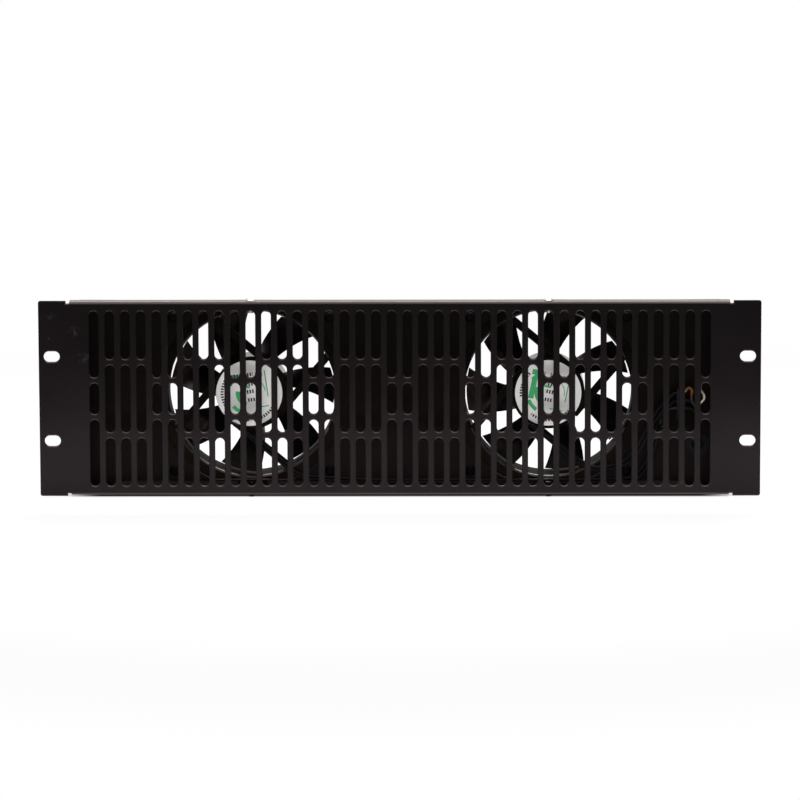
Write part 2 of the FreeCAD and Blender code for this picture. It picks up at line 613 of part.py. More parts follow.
def make_impeller(side):
    body = add_body(f"{side}_impeller")
    hub = add_sketch(body, "hub_profile", "XY_Plane")
    floor = "Dims.hub_back - Dims.hub_floor"
    add_polygon(hub, [("Dims.rotor_outer", "Dims.hub_front"), ("Dims.hub_radius", "Dims.hub_front"),
                      ("Dims.hub_radius", "Dims.hub_back - Dims.hub_chamfer"),
                      ("Dims.hub_radius - Dims.hub_chamfer", "Dims.hub_back"), ("0", "Dims.hub_back"),
                      ("0", "Dims.shaft_seat"), ("Dims.shaft_radius", "Dims.shaft_seat"),
                      ("Dims.shaft_radius", "Dims.boss_front"), ("Dims.boss_radius", "Dims.boss_front"),
                      ("Dims.boss_radius", floor), ("Dims.rotor_outer", floor)])
    cup = body.newObject("PartDesign::Revolution", "hub")
    cup.Profile = hub
    cup.ReferenceAxis = (hub, ["V_Axis"])
    cup.Angle = 360
    body.Tip = cup
    doc.recompute()

    sections = [blade_section(body, station) for station in ("root", "mid", "tip")]
    blade = body.newObject("PartDesign::AdditiveLoft", "blade")
    blade.Profile = sections[0]
    blade.Sections = sections[1:]
    body.Tip = blade
    doc.recompute()
    blades = body.newObject("PartDesign::PolarPattern", "blades")
    blades.Originals = [blade]
    blades.Axis = (origin_part(body, "Y_Axis"), [""])
    blades.Angle = 360
    blades.setExpression("Occurrences", "Dims.blade_count")
    body.Tip = blades
    doc.recompute()

    trim = add_sketch(body, "tip_trim_profile", "XY_Plane")
    add_box(trim, "Dims.tip_radius", "Dims.tip_radius + 15", "0.1", "Dims.fan_depth")
    tips = body.newObject("PartDesign::Groove", "tips")
    tips.Profile = trim
    tips.ReferenceAxis = (trim, ["V_Axis"])
    tips.Angle = 360
    body.Tip = tips
    doc.recompute()
    # the two rotors stopped at different angles
    body.Placement = Placement(Vector(), Rotation(Vector(0, 1, 0), dim(f"{side}_rotor_turn")))
    seat_on_fan(body, side)
    return body


def make_motor(side):
    """Shaded-pole motor: tube, bearings, core and coils stand still, the rotor turns round them."""
    def at(back):
        return fan_point(side, back=back)

    # the left label was stuck on a little off centre
    aside = Vector(dim(f"{side}_label_shift"), 0, 0)
    label = add_cylinder(f"{side}_fan_label", "Dims.label_radius", "Dims.label_thick",
                         at(dim("base_front") - dim("label_thick")) + aside)
    label.Label = f"{side}_fan_label"
    add_ring(f"{side}_bearing_tube", "Dims.tube_outer", "Dims.tube_inner", "Dims.tube_back - Dims.tube_front",
             at(dim("tube_front")))
    for name, back in (("front", dim("front_bearing_place")), ("rear", dim("rear_bearing_place"))):
        add_ring(f"{side}_{name}_bearing", "Dims.tube_inner", "Dims.shaft_radius + Dims.bearing_clear",
                 "Dims.bearing_length", at(back))
    shaft = add_cylinder(f"{side}_shaft", "Dims.shaft_radius", "Dims.shaft_seat - Dims.shaft_front",
                         at(dim("shaft_front")))
    shaft.Label = f"{side}_shaft"
    add_ring(f"{side}_retaining_clip", "Dims.clip_radius", "Dims.shaft_radius", "Dims.clip_thick",
             at(dim("clip_place")))
    add_ring(f"{side}_rotor_ring", "Dims.rotor_outer", "Dims.rotor_inner", "Dims.rotor_length",
             at(dim("rotor_front")))
    make_stator_core(side, at)
    make_stator_coils(side, at)


def make_stator_core(side, at):
    name = f"{side}_stator_core"
    front, reach = dim("core_front"), dim("core_radius")
    yoke = add_cylinder(f"{name}_yoke", "Dims.core_ring", "Dims.core_length", at(front))
    shoes = add_ring(f"{name}_shoes", "Dims.core_radius", "Dims.core_radius - Dims.shoe_thick",
                     "Dims.core_length", at(front))
    gaps, necks = [], []
    half = dim("neck_width") / 2
    for index in range(2):
        turn = Rotation(Vector(0, 1, 0), 90 * index)
        corner = turn.multVec(Vector(-reach + dim("shoe_thick") / 2, 0, -half))
        necks.append(add_solid_box(f"{name}_neck_{index}", ("2 * Dims.core_radius - Dims.shoe_thick",
                                                           "Dims.core_length", "Dims.neck_width"),
                                   at(front) + corner, turn))
        slant = Rotation(Vector(0, 1, 0), 45 + 90 * index)
        gap = dim("shoe_gap") / 2
        gaps.append(add_solid_box(f"{name}_gap_{index}", ("2 * Dims.core_radius + 2", "Dims.core_length",
                                                         "Dims.shoe_gap"),
                                  at(front) + slant.multVec(Vector(-reach - 1, 0, -gap)), slant))
    poles = subtract(f"{name}_poles", shoes, join(f"{name}_gaps", gaps))
    solid = join(f"{name}_solid", [yoke, poles] + necks)
    bore = add_cylinder(f"{name}_bore", "Dims.tube_outer", "Dims.core_length", at(front))
    core = subtract(name, solid, bore)
    core.Label = name


def make_stator_coils(side, at):
    name = f"{side}_stator_coils"
    wall = dim("coil_wall")
    wide = dim("neck_width") / 2 + wall
    coils = []
    for index in range(4):
        turn = Rotation(Vector(0, 1, 0), 90 * index)
        corner = turn.multVec(Vector(dim("core_ring") + dim("coil_gap"), 0, -wide))
        coil = add_solid_box(f"{name}_block_{index}", ("Dims.coil_length",
                                                      "Dims.core_length + 2 * Dims.coil_wall",
                                                      "Dims.neck_width + 2 * Dims.coil_wall"),
                             at(dim("core_front") - wall) + corner, turn)
        corner = turn.multVec(Vector(dim("tube_outer"), 0, -wide + wall))
        neck = add_solid_box(f"{name}_neck_{index}",
                             ("Dims.core_radius", "Dims.core_length", "Dims.neck_width"),
                             at(dim("core_front")) + corner, turn)
        coils.append(subtract(f"{name}_coil_{index}", coil, neck))
    join(name, coils, "Part::Compound")


# ---------------------------------------------------------------- wiring

def arc_route(points):
    """Straight runs joined by tangent arcs, each as large as its two runs allow."""
    edges, start, radii = [], points[0], []
    for before, corner, after in zip(points, points[1:], points[2:]):
        come, leave = corner - before, after - corner
        turn = come.getAngle(leave)
        trim = 0.45 * min(come.Length, leave.Length)
        radii.append(trim / math.tan(turn / 2))
        come.normalize()
        leave.normalize()
        first, last = corner - come * trim, corner + leave * trim
        bisector = (leave - come).normalize()
        centre = corner + bisector * (radii[-1] / math.cos(turn / 2))
        edges += [Part.LineSegment(start, first).toShape(),
                  Part.Arc(first, centre - bisector * radii[-1], last).toShape()]
        start = last
    edges.append(Part.LineSegment(start, points[-1]).toShape())
    return Part.Wire(edges), radii


def make_wire(points, radius, name):
    """A round wire along a route; its volume is held against section times length."""
    points = [Vector(*point) for point in points]
    path, radii = arc_route(points)
    section = Part.Wire(Part.Circle(points[0], points[1] - points[0], radius).toShape())
    solid = path.makePipeShell([section], True, False)
    expected = math.pi * radius ** 2 * path.Length
    print(f"{name}: {path.Length:.0f} mm long, radii {', '.join(f'{r:.1f}' for r in radii)} mm")
    if abs(solid.Volume - expected) > 0.01 * expected:
        raise RuntimeError(f"{name} has volume {solid.Volume:.1f}, not {expected:.1f}")
    return solid


def add_feature(label, shapes):
    feature = doc.addObject("Part::Feature", label)
    feature.Label = label
    feature.Shape = shapes[0] if len(shapes) == 1 else Part.makeCompound(shapes)
    return feature


def lead_start(side, spread):
    """Where a core comes out of the motor base, beside the foot of the lower right strut."""
    angle = math.radians(dim("lead_angle") + spread)
    return fan_point(side, dim("base_radius") * math.cos(angle), dim("base_front"),
                     dim("base_radius") * math.sin(angle))


def strut_spot(side, along, back, aside):
    """A point in front of the lower right strut, so far along it from the point nearest the axis."""
    angle = math.radians(dim("strut_turn") + 180)
    out = Vector(math.cos(angle), 0, math.sin(angle))
    heading = Vector(-math.sin(angle), 0, math.cos(angle))
    spot = out * (dim("strut_offset") + aside) + heading * along
    return fan_point(side, spot.x, back, spot.z)


# per core: turn round the base in degrees, offset across the strut, height of the run, terminal way
LEAD_CORES = {
    "left": ((-2.6, -1.1, -58.9, 2), (2.6, 1.1, -61.1, 1)),
    "right": ((-2.6, -1.1, -54.6, 2), (2.6, 1.1, -56.8, 1)),
}
STRUT_RUN = ((22, -0.5), (44, -1.2))
STRUT_END = Vector(31, -1.6, 3.6)
LONG_RUN = ((-20, 0.0), (30, 0.3), (80, -0.2), (120, 0.2))
LONG_RUN_DEPTH = 1.3
# the rise to the block for the outer core, and how far the inner core runs inside it
RISE = {
    "left": ((159.5, 15.8, -59.5), (168.5, 14.0, -46.0), (173.5, 12.0, -26.0), (178.6, 12.2, -11.0)),
    "right": ((150.0, 13.9, -49.5), (160.5, 11.6, -39.0), (167.5, 9.6, -24.0), (175.0, 9.2, -11.0)),
}
INSIDE = Vector(-2.0, 0, 2.0)
APPROACH = {"left": Vector(-5.0, -0.6, -2.4), "right": Vector(-5.6, -1.5, -3.2)}


def make_fan_lead(side):
    """Two cores from the motor base, along a strut and the plate's lower edge to the terminal block."""
    plate = dim("plate_gap")
    entry_x = dim("block_x") - dim("block_wide") / 2
    # both fans' cores share a way, the left fan's behind
    shift = (dim("core_wire") + dim("lead_gap")) * (1 if side == "left" else -1)
    depth = plate - dim("block_deep") / 2 + shift
    cores = []
    for index, (spread, aside, level, way) in enumerate(LEAD_CORES[side]):
        out = lead_start(side, spread)
        route = [out, out - Vector(0, dim("lead_rise"), 0)]
        route += [strut_spot(side, along, back, aside) for along, back in STRUT_RUN]
        route.append(Vector(SIDES[side] * dim("fan_x"), plate, level) + STRUT_END)
        if side == "left":
            route += [Vector(x, plate - LONG_RUN_DEPTH, level + lift) for x, lift in LONG_RUN]
        route += [Vector(*spot) + INSIDE * (1 - index) for spot in RISE[side]]
        entry = Vector(entry_x, depth, way_height(way))
        route += [entry + APPROACH[side], entry - Vector(dim("lead_straight"), 0, 0),
                  entry + Vector(dim("lead_entry"), 0, 0)]
        cores.append(make_wire(route, dim("core_wire"), f"{side} core {index + 1}"))
    add_feature(f"{side}_fan_lead", cores)


def way_height(way):
    return dim("block_z") + (way - 1) * dim("way_pitch")


# the top way's ferrule points up, because its core loops over
FERRULE_TILT = (0, 0, 50)
RIGHTWARD = Rotation(Vector(0, 1, 0), 90)


def ferrule_line(way):
    """The start of a way's ferrule, and the direction it points."""
    start = Vector(dim("block_x") + dim("insert_length") / 2, dim("plate_gap") - dim("block_deep") / 2,
                   way_height(way))
    return start, Rotation(Vector(0, 1, 0), 90 - FERRULE_TILT[way])


def make_terminal_block():
    """Three-way block on the plate, its clamps running across it."""
    left = dim("block_x") - dim("block_wide") / 2
    front = dim("plate_gap") - dim("block_deep")
    depth = dim("plate_gap") - dim("block_deep") / 2
    low = way_height(2) + dim("block_over") - dim("block_tall")
    blank = add_solid_box("terminal_block_blank", ("Dims.block_wide", "Dims.block_deep", "Dims.block_tall"),
                          Vector(left, front, low))
    tools, inserts, screws, ferrules = [], [], [], []
    inset = (dim("block_wide") - dim("insert_length")) / 2
    for way in range(3):
        height = way_height(way)
        tools.append(add_cylinder(f"way_bore_{way}", "Dims.way_bore", "Dims.block_wide",
                                  Vector(left, depth, height), RIGHTWARD))
        tools.append(add_cylinder(f"screw_well_{way}", "Dims.screw_well", "Dims.block_deep / 2",
                                  Vector(dim("block_x"), front, height)))
        inserts.append(add_ring(f"insert_{way}", "Dims.way_bore", "Dims.insert_bore", "Dims.insert_length",
                                Vector(left + inset, depth, height), RIGHTWARD))
        screws.append(add_cylinder(f"clamp_screw_{way}", "Dims.screw_well - Dims.screw_play",
                                   "Dims.block_deep / 2 - Dims.way_bore - Dims.well_sunk",
                                   Vector(dim("block_x"), front + dim("well_sunk"), height)))
        ferrules.append(add_cylinder(f"ferrule_{way}", "Dims.ferrule_radius", "Dims.ferrule_length",
                                     *ferrule_line(way)))
    fixing = Vector(dim("block_x"), front, way_height(0) - dim("fixing_drop"))
    tools.append(add_cylinder("block_fixing_hole", "Dims.fixing_hole", "Dims.block_deep", fixing))
    block = subtract("terminal_block", blank, join("terminal_block_holes", tools))
    block.Label = "terminal_block"
    join("terminal_inserts", inserts, "Part::Compound")
    join("clamp_screws", screws, "Part::Compound")
    join("wire_ferrules", ferrules, "Part::Compound")
    head = add_cylinder("block_screw_head_part", "Dims.block_screw_head", "Dims.block_head_tall",
                        fixing - Vector(0, dim("block_head_tall"), 0))
    shank = add_cylinder("block_screw_shank", "Dims.block_screw",
                         "Dims.block_deep + Dims.sheet_thick + Dims.block_screw_over", fixing)
    join("block_screw", [head, shank])
    blank_nut = doc.addObject("Part::Prism", "block_nut_blank")
    blank_nut.Polygon = 6
    blank_nut.setExpression("Circumradius", "Dims.block_nut / sqrt(3)")
    blank_nut.setExpression("Height", "Dims.block_nut_tall")
    rear = Vector(fixing.x, FAN_FACE, fixing.z)
    blank_nut.Placement = Placement(rear, BACKWARD)
    nut = subtract("block_nut", blank_nut, add_cylinder("block_nut_bore", "Dims.block_screw",
                                                        "Dims.block_nut_tall", rear))
    nut.Label = "block_nut"


def make_earth_stud():
    """A stud pressed into the plate, with the earth wire's ring held by a nut."""
    turn = Rotation(Vector(1, 0, 0), 90)
    spot = Vector(dim("stud_x"), FAN_FACE, dim("stud_z"))
    face = Vector(spot.x, dim("plate_gap"), spot.z)
    shank = add_cylinder("earth_stud_shank", "Dims.small_hole / 2", "Dims.sheet_thick", face)
    tip = add_cylinder("earth_stud_tip", "Dims.stud_radius", "Dims.stud_length", face, turn)
    head = add_cylinder("earth_stud_head", "2 * Dims.stud_radius", "Dims.stud_head_tall", spot)
    join("earth_stud", [shank, tip, head])
    add_ring("earth_ring", "Dims.ring_outer", "Dims.stud_radius", "Dims.ring_thick", face, turn)
    blank = doc.addObject("Part::Prism", "earth_nut_blank")
    blank.Polygon = 6
    blank.setExpression("Circumradius", "Dims.earth_nut / sqrt(3)")
    blank.setExpression("Height", "Dims.nut_tall")
    nut_face = face + Vector(0, -dim("ring_thick"), 0)
    blank.Placement = Placement(nut_face, turn)
    nut = subtract("earth_nut", blank, add_cylinder("earth_nut_bore", "Dims.stud_radius", "Dims.nut_tall",
                                                    nut_face, turn))
    nut.Label = "earth_nut"


# supply cores: from the block's right side, through the tie, and into the grommet, each with its
# terminal way, its route and its place in the grommet
SUPPLY_ROUTES = {
    "supply_live_wire": (2, ((196.2, 12.8, 3.4), (195.0, 11.2, -3.6), (199.65, 11.4, -9.8),
                             (199.65, 12.45, -20.0), (199.65, 12.45, -34.2)), (0.0, -1.5)),
    "supply_neutral_wire": (1, ((200.66, 14.2, -9.0), (200.66, 14.2, -32.5)), (1.3, 0.8)),
    "supply_earth_wire": (0, ((198.64, 14.2, -11.5), (198.64, 14.2, -32.5)), (-1.3, 0.8)),
}
FERRULE_RUN = 2.65
# the first stretches of these cores, up to their second bends, are in shrunk black sleeving
SLEEVED = ("supply_neutral_wire", "supply_earth_wire")
CHASSIS_EARTH_ROUTE = ((182.0, 13.75, -9.2), (175.4, 16.3, -13.0), (174.2, 16.6, -18.5))
TIE_TAIL = ((199.65, 9.05, -25.2), (199.65, 9.05, -7.0), (205.0, 10.6, -1.6), (201.4, 11.2, 4.2),
            (202.2, 11.4, 8.2))


def make_grommet():
    """A grommet whose web is pierced only by the three supply cores."""
    body = add_body("cable_grommet")
    profile = add_sketch(body, "grommet_profile", "XY_Plane")
    front, back = "Dims.plate_gap", "Dims.plate_gap + Dims.sheet_thick"
    rear = f"{back} + Dims.grommet_lip"
    web = f"{rear} - Dims.grommet_web"
    add_polygon(profile, [("Dims.grommet_inner", f"{front} - Dims.grommet_lip"),
                          ("Dims.grommet_flange", f"{front} - Dims.grommet_lip"),
                          ("Dims.grommet_flange", front),
                          ("Dims.grommet_hole / 2", front), ("Dims.grommet_hole / 2", back),
                          ("Dims.grommet_flange", back), ("Dims.grommet_flange", rear),
                          ("0", rear), ("0", web), ("Dims.grommet_inner", web)])
    ring = body.newObject("PartDesign::Revolution", "grommet")
    ring.Profile = profile
    ring.ReferenceAxis = (profile, ["V_Axis"])
    ring.Angle = 360
    body.Tip = ring
    doc.recompute()
    cores = add_sketch(body, "core_holes", "XZ_Plane")
    for _, _, (dx, dz) in SUPPLY_ROUTES.values():
        add_circle(cores, "Dims.supply_wire", str(dx), str(dz))
    add_pocket(body, cores, "core_holes_cut", "4 * Dims.plate_gap")
    body.setExpression("Placement.Base.x", "Dims.grommet_x")
    body.setExpression("Placement.Base.z", "Dims.grommet_z")
    doc.recompute()


def make_supply_wires():
    depth = dim("plate_gap") - dim("block_deep") / 2
    rear = FAN_FACE + dim("grommet_lip")
    sleeves = []
    for name, (way, points, (dx, dz)) in SUPPLY_ROUTES.items():
        start, turn = ferrule_line(way)
        heading = turn.multVec(Vector(0, 0, 1))
        end = start + heading * dim("ferrule_length")
        x, z = dim("grommet_x") + dx, dim("grommet_z") + dz
        route = [end, end + heading * FERRULE_RUN, *points, (x, dim("plate_gap"), z), (x, rear, z)]
        wire = make_wire(route, dim("supply_wire"), name)
        add_feature(name, [wire])
        if name in SLEEVED:
            path, _ = arc_route([Vector(*point) for point in route])
            covered = Part.Wire(path.Edges[:3])
            skin = Part.Wire(Part.Circle(end, heading, dim("sleeve_radius")).toShape())
            sleeves.append(covered.makePipeShell([skin], True, False).cut(wire))
    add_feature("core_sleeves", sleeves)
    start = (dim("block_x") - dim("block_wide") / 2 + dim("lead_entry"), depth, way_height(0))
    ring_top = (dim("stud_x"), dim("plate_gap") - dim("tail_front"),
                dim("stud_z") + dim("ring_outer") + dim("tail_above"))
    wire = make_wire([start, *CHASSIS_EARTH_ROUTE, ring_top], dim("supply_wire"), "chassis_earth_wire")
    add_feature("chassis_earth_wire", [wire])


def make_cable_tie():
    """A strap round the three supply cores; its head is in front and its long tail was never cut off."""
    wide, inner, outer = dim("tie_wide"), dim("tie_inner"), dim("tie_inner") + dim("tie_thick")
    centre = Vector(dim("tie_x"), dim("tie_y"), dim("tie_z"))
    low = centre - Vector(0, 0, wide / 2)
    loop = Part.makeCylinder(outer, wide, low).cut(Part.makeCylinder(inner, wide, low))
    head_wide, head_deep, head_tall = dim("tie_head_wide"), dim("tie_head_deep"), dim("tie_head_tall")
    in_front = Vector(-head_wide / 2, -inner - dim("tie_thick") / 2 - head_deep, -head_tall / 2)
    head = Part.makeBox(head_wide, head_deep, head_tall, centre + in_front)
    path, _ = arc_route([Vector(*point) for point in TIE_TAIL])
    half, thin = wide / 2, dim("tail_half")
    start = Vector(*TIE_TAIL[0])
    section = Part.makePolygon([start + Vector(x, y, 0) for x, y in
                                ((-thin, -half), (thin, -half), (thin, half), (-thin, half), (-thin, -half))])
    tail = path.makePipeShell([section], True, False)
    add_feature("cable_tie", [loop.fuse([head, tail])])


# ---------------------------------------------------------------- build, check and write

make_front_panel()
make_fan_plate()
make_flange_fasteners()
make_grommet()
make_terminal_block()
make_earth_stud()
make_supply_wires()
make_cable_tie()
for fan_side in SIDES:
    make_fan_frame(fan_side)
    make_fan_fasteners(fan_side)
    make_motor(fan_side)
    make_fan_lead(fan_side)
    make_impeller(fan_side)
doc.recompute()

PIECES = [
    "front_panel", "fan_plate", "flange_screws", "flange_nuts", "cable_grommet",
    "terminal_block", "terminal_inserts", "clamp_screws", "block_screw", "block_nut", "wire_ferrules",
    "earth_stud", "earth_ring", "earth_nut", "chassis_earth_wire",
    "supply_live_wire", "supply_neutral_wire", "supply_earth_wire", "core_sleeves", "cable_tie",
] + [f"{side}_{piece}" for side in SIDES for piece in (
    "fan_frame", "fan_screws", "fan_nuts", "fan_label", "bearing_tube", "front_bearing", "rear_bearing",
    "stator_core", "stator_coils", "fan_lead", "impeller", "rotor_ring", "shaft", "retaining_clip")]

for item in doc.Objects:
    if "Invalid" in item.State or "Error" in item.State:
        raise RuntimeError(f"{item.Name} failed: {item.State}")
pieces = {item.Label: item for item in doc.Objects if item.Label in PIECES}
for label in PIECES:
    shape = pieces[label].Shape
    if shape.isNull() or not shape.isValid():
        raise RuntimeError(f"{label} has no valid shape")
for label in PIECES:
    pieces[label].Shape.exportStep(f"parts/{label}.step")
print(f"{len(PIECES)} pieces written")
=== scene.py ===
import math

import bmesh
import bpy
from mathutils import Matrix, Vector


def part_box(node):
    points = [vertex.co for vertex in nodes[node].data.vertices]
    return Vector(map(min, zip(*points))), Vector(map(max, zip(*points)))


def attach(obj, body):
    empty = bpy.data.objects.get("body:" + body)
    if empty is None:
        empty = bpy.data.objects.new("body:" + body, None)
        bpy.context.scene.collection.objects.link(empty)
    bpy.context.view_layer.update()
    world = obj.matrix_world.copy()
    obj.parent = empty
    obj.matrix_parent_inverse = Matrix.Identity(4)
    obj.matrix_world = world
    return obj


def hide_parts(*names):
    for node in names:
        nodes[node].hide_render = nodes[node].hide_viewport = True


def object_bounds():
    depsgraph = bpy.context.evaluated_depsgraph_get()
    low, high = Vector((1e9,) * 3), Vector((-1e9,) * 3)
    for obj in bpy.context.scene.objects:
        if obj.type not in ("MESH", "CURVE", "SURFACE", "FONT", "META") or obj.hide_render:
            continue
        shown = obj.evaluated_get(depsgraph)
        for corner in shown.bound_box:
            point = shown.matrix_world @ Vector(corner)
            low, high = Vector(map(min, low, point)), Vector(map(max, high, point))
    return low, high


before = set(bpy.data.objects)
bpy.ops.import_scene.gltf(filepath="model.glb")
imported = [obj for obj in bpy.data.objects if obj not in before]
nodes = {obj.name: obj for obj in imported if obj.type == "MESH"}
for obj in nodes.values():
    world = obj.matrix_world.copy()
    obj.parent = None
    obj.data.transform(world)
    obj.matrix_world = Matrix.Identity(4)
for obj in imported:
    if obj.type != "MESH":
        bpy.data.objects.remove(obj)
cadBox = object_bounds()
mm = 0.001
print("frame loaded:", len(nodes), "nodes")


def hexColor(text):  # sRGB hex to the linear values that a socket takes
    parts = [int(text[i:i + 2], 16) / 255 for i in (1, 3, 5)]
    return [c / 12.92 if c <= 0.04045 else ((c + 0.055) / 1.055) ** 2.4 for c in parts] + [1.0]


def addNode(tree, kind, inputs=None, **settings):  # a Mix of colours has its sockets at 6 and 7, and gives 2
    made = tree.nodes.new(kind)
    for name, value in settings.items():
        setattr(made, name, value)
    for name, value in (inputs or {}).items():
        if isinstance(value, bpy.types.NodeSocket):
            tree.links.new(value, made.inputs[name])
        else:
            made.inputs[name].default_value = value
    return made


def startMaterial(name, **values):
    material = bpy.data.materials.new(name)
    material.use_nodes = True
    tree = material.node_tree
    tree.nodes.clear()
    shader = addNode(tree, "ShaderNodeBsdfPrincipled", values)
    addNode(tree, "ShaderNodeOutputMaterial", {"Surface": shader.outputs["BSDF"]})
    place = addNode(tree, "ShaderNodeTexCoord").outputs["Object"]
    return material, tree, shader, place


def perMetre(grainMm):  # the noise scale that gives features of about this size
    return 1000 / grainMm


# what every surface shares: how its noises are drawn, and how much of each one shows
patternLook = {"grainDetail": 3.0, "grainRough": 0.6, "driftDetail": 5.0, "mottle": (0.12, 0.42),
               "drift": (0.3, 0.7), "dustEdge": (0.16, 0.05), "rubMm": 2.2, "rubDetail": 4.0, "rubRough": 0.7,
               "rub": (0.52, 0.7), "rubShare": 0.6, "rubCore": 0.3}


def surfaceMaterial(name, look, **values):
    # the common build of a moulded, painted or plated surface: a slow drift of tone, a fine grain
    # that also sets the bump, and then dust, scuffs and bands of painted shade where the look has them
    material, tree, shader, place = startMaterial(name, **values)
    grain = addNode(tree, "ShaderNodeTexNoise", {
        "Vector": place, "Scale": perMetre(look["grainMm"]), "Detail": patternLook["grainDetail"],
        "Roughness": patternLook["grainRough"]}).outputs["Fac"]
    drift = addNode(tree, "ShaderNodeTexNoise", {
        "Vector": place, "Scale": perMetre(look["driftMm"]),
        "Detail": patternLook["driftDetail"]}).outputs["Fac"]
    mottle = addNode(tree, "ShaderNodeMath", {0: grain, 1: drift}, operation="MULTIPLY").outputs[0]
    low, high = patternLook["mottle"]
    share = addNode(tree, "ShaderNodeMapRange", {"Value": mottle, "From Min": low, "From Max": high})
    tone = addNode(tree, "ShaderNodeMix", {"Factor": share.outputs[0], 6: hexColor(look["color"]),
                                           7: hexColor(look["lighter"])}, data_type="RGBA").outputs[2]

    if look.get("dust"):   # a few cells of a scattered pattern hold a soft speck each
        speck = addNode(tree, "ShaderNodeTexVoronoi", {
            "Vector": place, "Scale": perMetre(look["dustMm"]), "Randomness": 1.0}).outputs
        edge, core = patternLook["dustEdge"]
        near = addNode(tree, "ShaderNodeMapRange", {"Value": speck["Distance"], "From Min": edge,
                                                    "From Max": core}).outputs[0]
        rare = addNode(tree, "ShaderNodeMath", {0: speck["Color"], 1: 1 - look["dustShare"]},
                       operation="GREATER_THAN").outputs[0]
        spots = addNode(tree, "ShaderNodeMath", {0: near, 1: rare}, operation="MULTIPLY").outputs[0]
        tone = addNode(tree, "ShaderNodeMix", {"Factor": spots, 6: tone, 7: hexColor(look["dust"])},
                       data_type="RGBA").outputs[2]

    if look.get("scuffs"):   # handling marks: each has a centre and a reach in mm, broken up by a noise
        rub = addNode(tree, "ShaderNodeTexNoise", {
            "Vector": place, "Scale": perMetre(patternLook["rubMm"]), "Detail": patternLook["rubDetail"],
            "Roughness": patternLook["rubRough"]}).outputs["Fac"]
        low, high = patternLook["rub"]
        worn = addNode(tree, "ShaderNodeMapRange", {
            "Value": rub, "From Min": low, "From Max": high, "To Max": patternLook["rubShare"]}).outputs[0]
        for x, z, reach in look["scuffs"]:
            away = addNode(tree, "ShaderNodeVectorMath", {0: place, 1: (x * mm, 0, z * mm)},
                           operation="DISTANCE").outputs["Value"]
            inside = addNode(tree, "ShaderNodeMapRange", {
                "Value": away, "From Min": reach * mm,
                "From Max": patternLook["rubCore"] * reach * mm}).outputs[0]
            mark = addNode(tree, "ShaderNodeMath", {0: inside, 1: worn}, operation="MULTIPLY").outputs[0]
            tone = addNode(tree, "ShaderNodeMix", {"Factor": mark, 6: tone, 7: hexColor(look["scuff"])},
                           data_type="RGBA").outputs[2]

    if look.get("paintedShadeBands"):   # heights in mm between which a part turns to a colour of painted shade
        height = addNode(tree, "ShaderNodeSeparateXYZ", {0: place}).outputs["Z"]
        for start, stop, color in look["paintedShadeBands"]:
            paintedShadeShare = addNode(tree, "ShaderNodeMapRange", {"Value": height, "From Min": start * mm,
                                                           "From Max": stop * mm}).outputs[0]
            tone = addNode(tree, "ShaderNodeMix", {"Factor": paintedShadeShare, 6: tone, 7: hexColor(color)},
                           data_type="RGBA").outputs[2]

    tree.links.new(tone, shader.inputs["Base Color"])
    low, high = patternLook["drift"]
    rough = addNode(tree, "ShaderNodeMapRange", {
        "Value": drift, "From Min": low, "From Max": high, "To Min": look["rough"][0],
        "To Max": look["rough"][1]})
    tree.links.new(rough.outputs[0], shader.inputs["Roughness"])
    bump = addNode(tree, "ShaderNodeBump", {"Height": grain, "Strength": look["bump"],
                                            "Distance": look["bumpMm"] * mm})
    tree.links.new(bump.outputs["Normal"], shader.inputs["Normal"])
    return material


# materials, by the real finish
panelCoat = surfaceMaterial("powderCoatBlack", {  # baked polyester powder: fine orange peel, warm black
    "color": "#141011", "lighter": "#1a1617", "grainMm": 0.7, "driftMm": 45, "rough": (0.44, 0.54),
    "bump": 0.5, "bumpMm": 0.06, "dust": "#443f3a", "dustMm": 9, "dustShare": 0.08,
    "scuffs": [(-232, 56, 4.5), (-217, 45, 5.5), (-211, 27, 7.0), (188, 52, 3.0), (190, -58, 3.5)],
    "scuff": "#4a4546"}, **{"Specular IOR Level": 0.03})
# painted highlight: a lighter colour for the rims that face up or down and for the flange's top
rimCoatPaintedHighlight = surfaceMaterial("powderCoatRimPaintedHighlight", {  # the powder at an edge, thicker and glossier, and lighter as a painted highlight
    "color": "#1c1718", "lighter": "#282122", "grainMm": 0.7, "driftMm": 30, "rough": (0.3, 0.38),
    "bump": 0.3, "bumpMm": 0.04}, **{"Specular IOR Level": 0.45, "Specular Tint": hexColor("#ffe4d8")})
plateCoat = surfaceMaterial("powderCoatPlate", {  # the same powder on the inner plate, less handled
    "color": "#0a0808", "lighter": "#110f0e", "grainMm": 0.7, "driftMm": 60, "rough": (0.4, 0.5),
    "bump": 0.5, "bumpMm": 0.05, "dust": "#4a4540", "dustMm": 12, "dustShare": 0.06},
    **{"Specular IOR Level": 0.05, "Specular Tint": hexColor("#ffe4d8")})
castPaint = surfaceMaterial("paintedCastAluminium", {  # die casting under thin black paint: soft pebbling
    "color": "#0d0a08", "lighter": "#15110e", "grainMm": 1.1, "driftMm": 18, "rough": (0.55, 0.68),
    "bump": 0.55, "bumpMm": 0.09, "dust": "#55514a", "dustMm": 8, "dustShare": 0.08},
    **{"Specular IOR Level": 0.02})
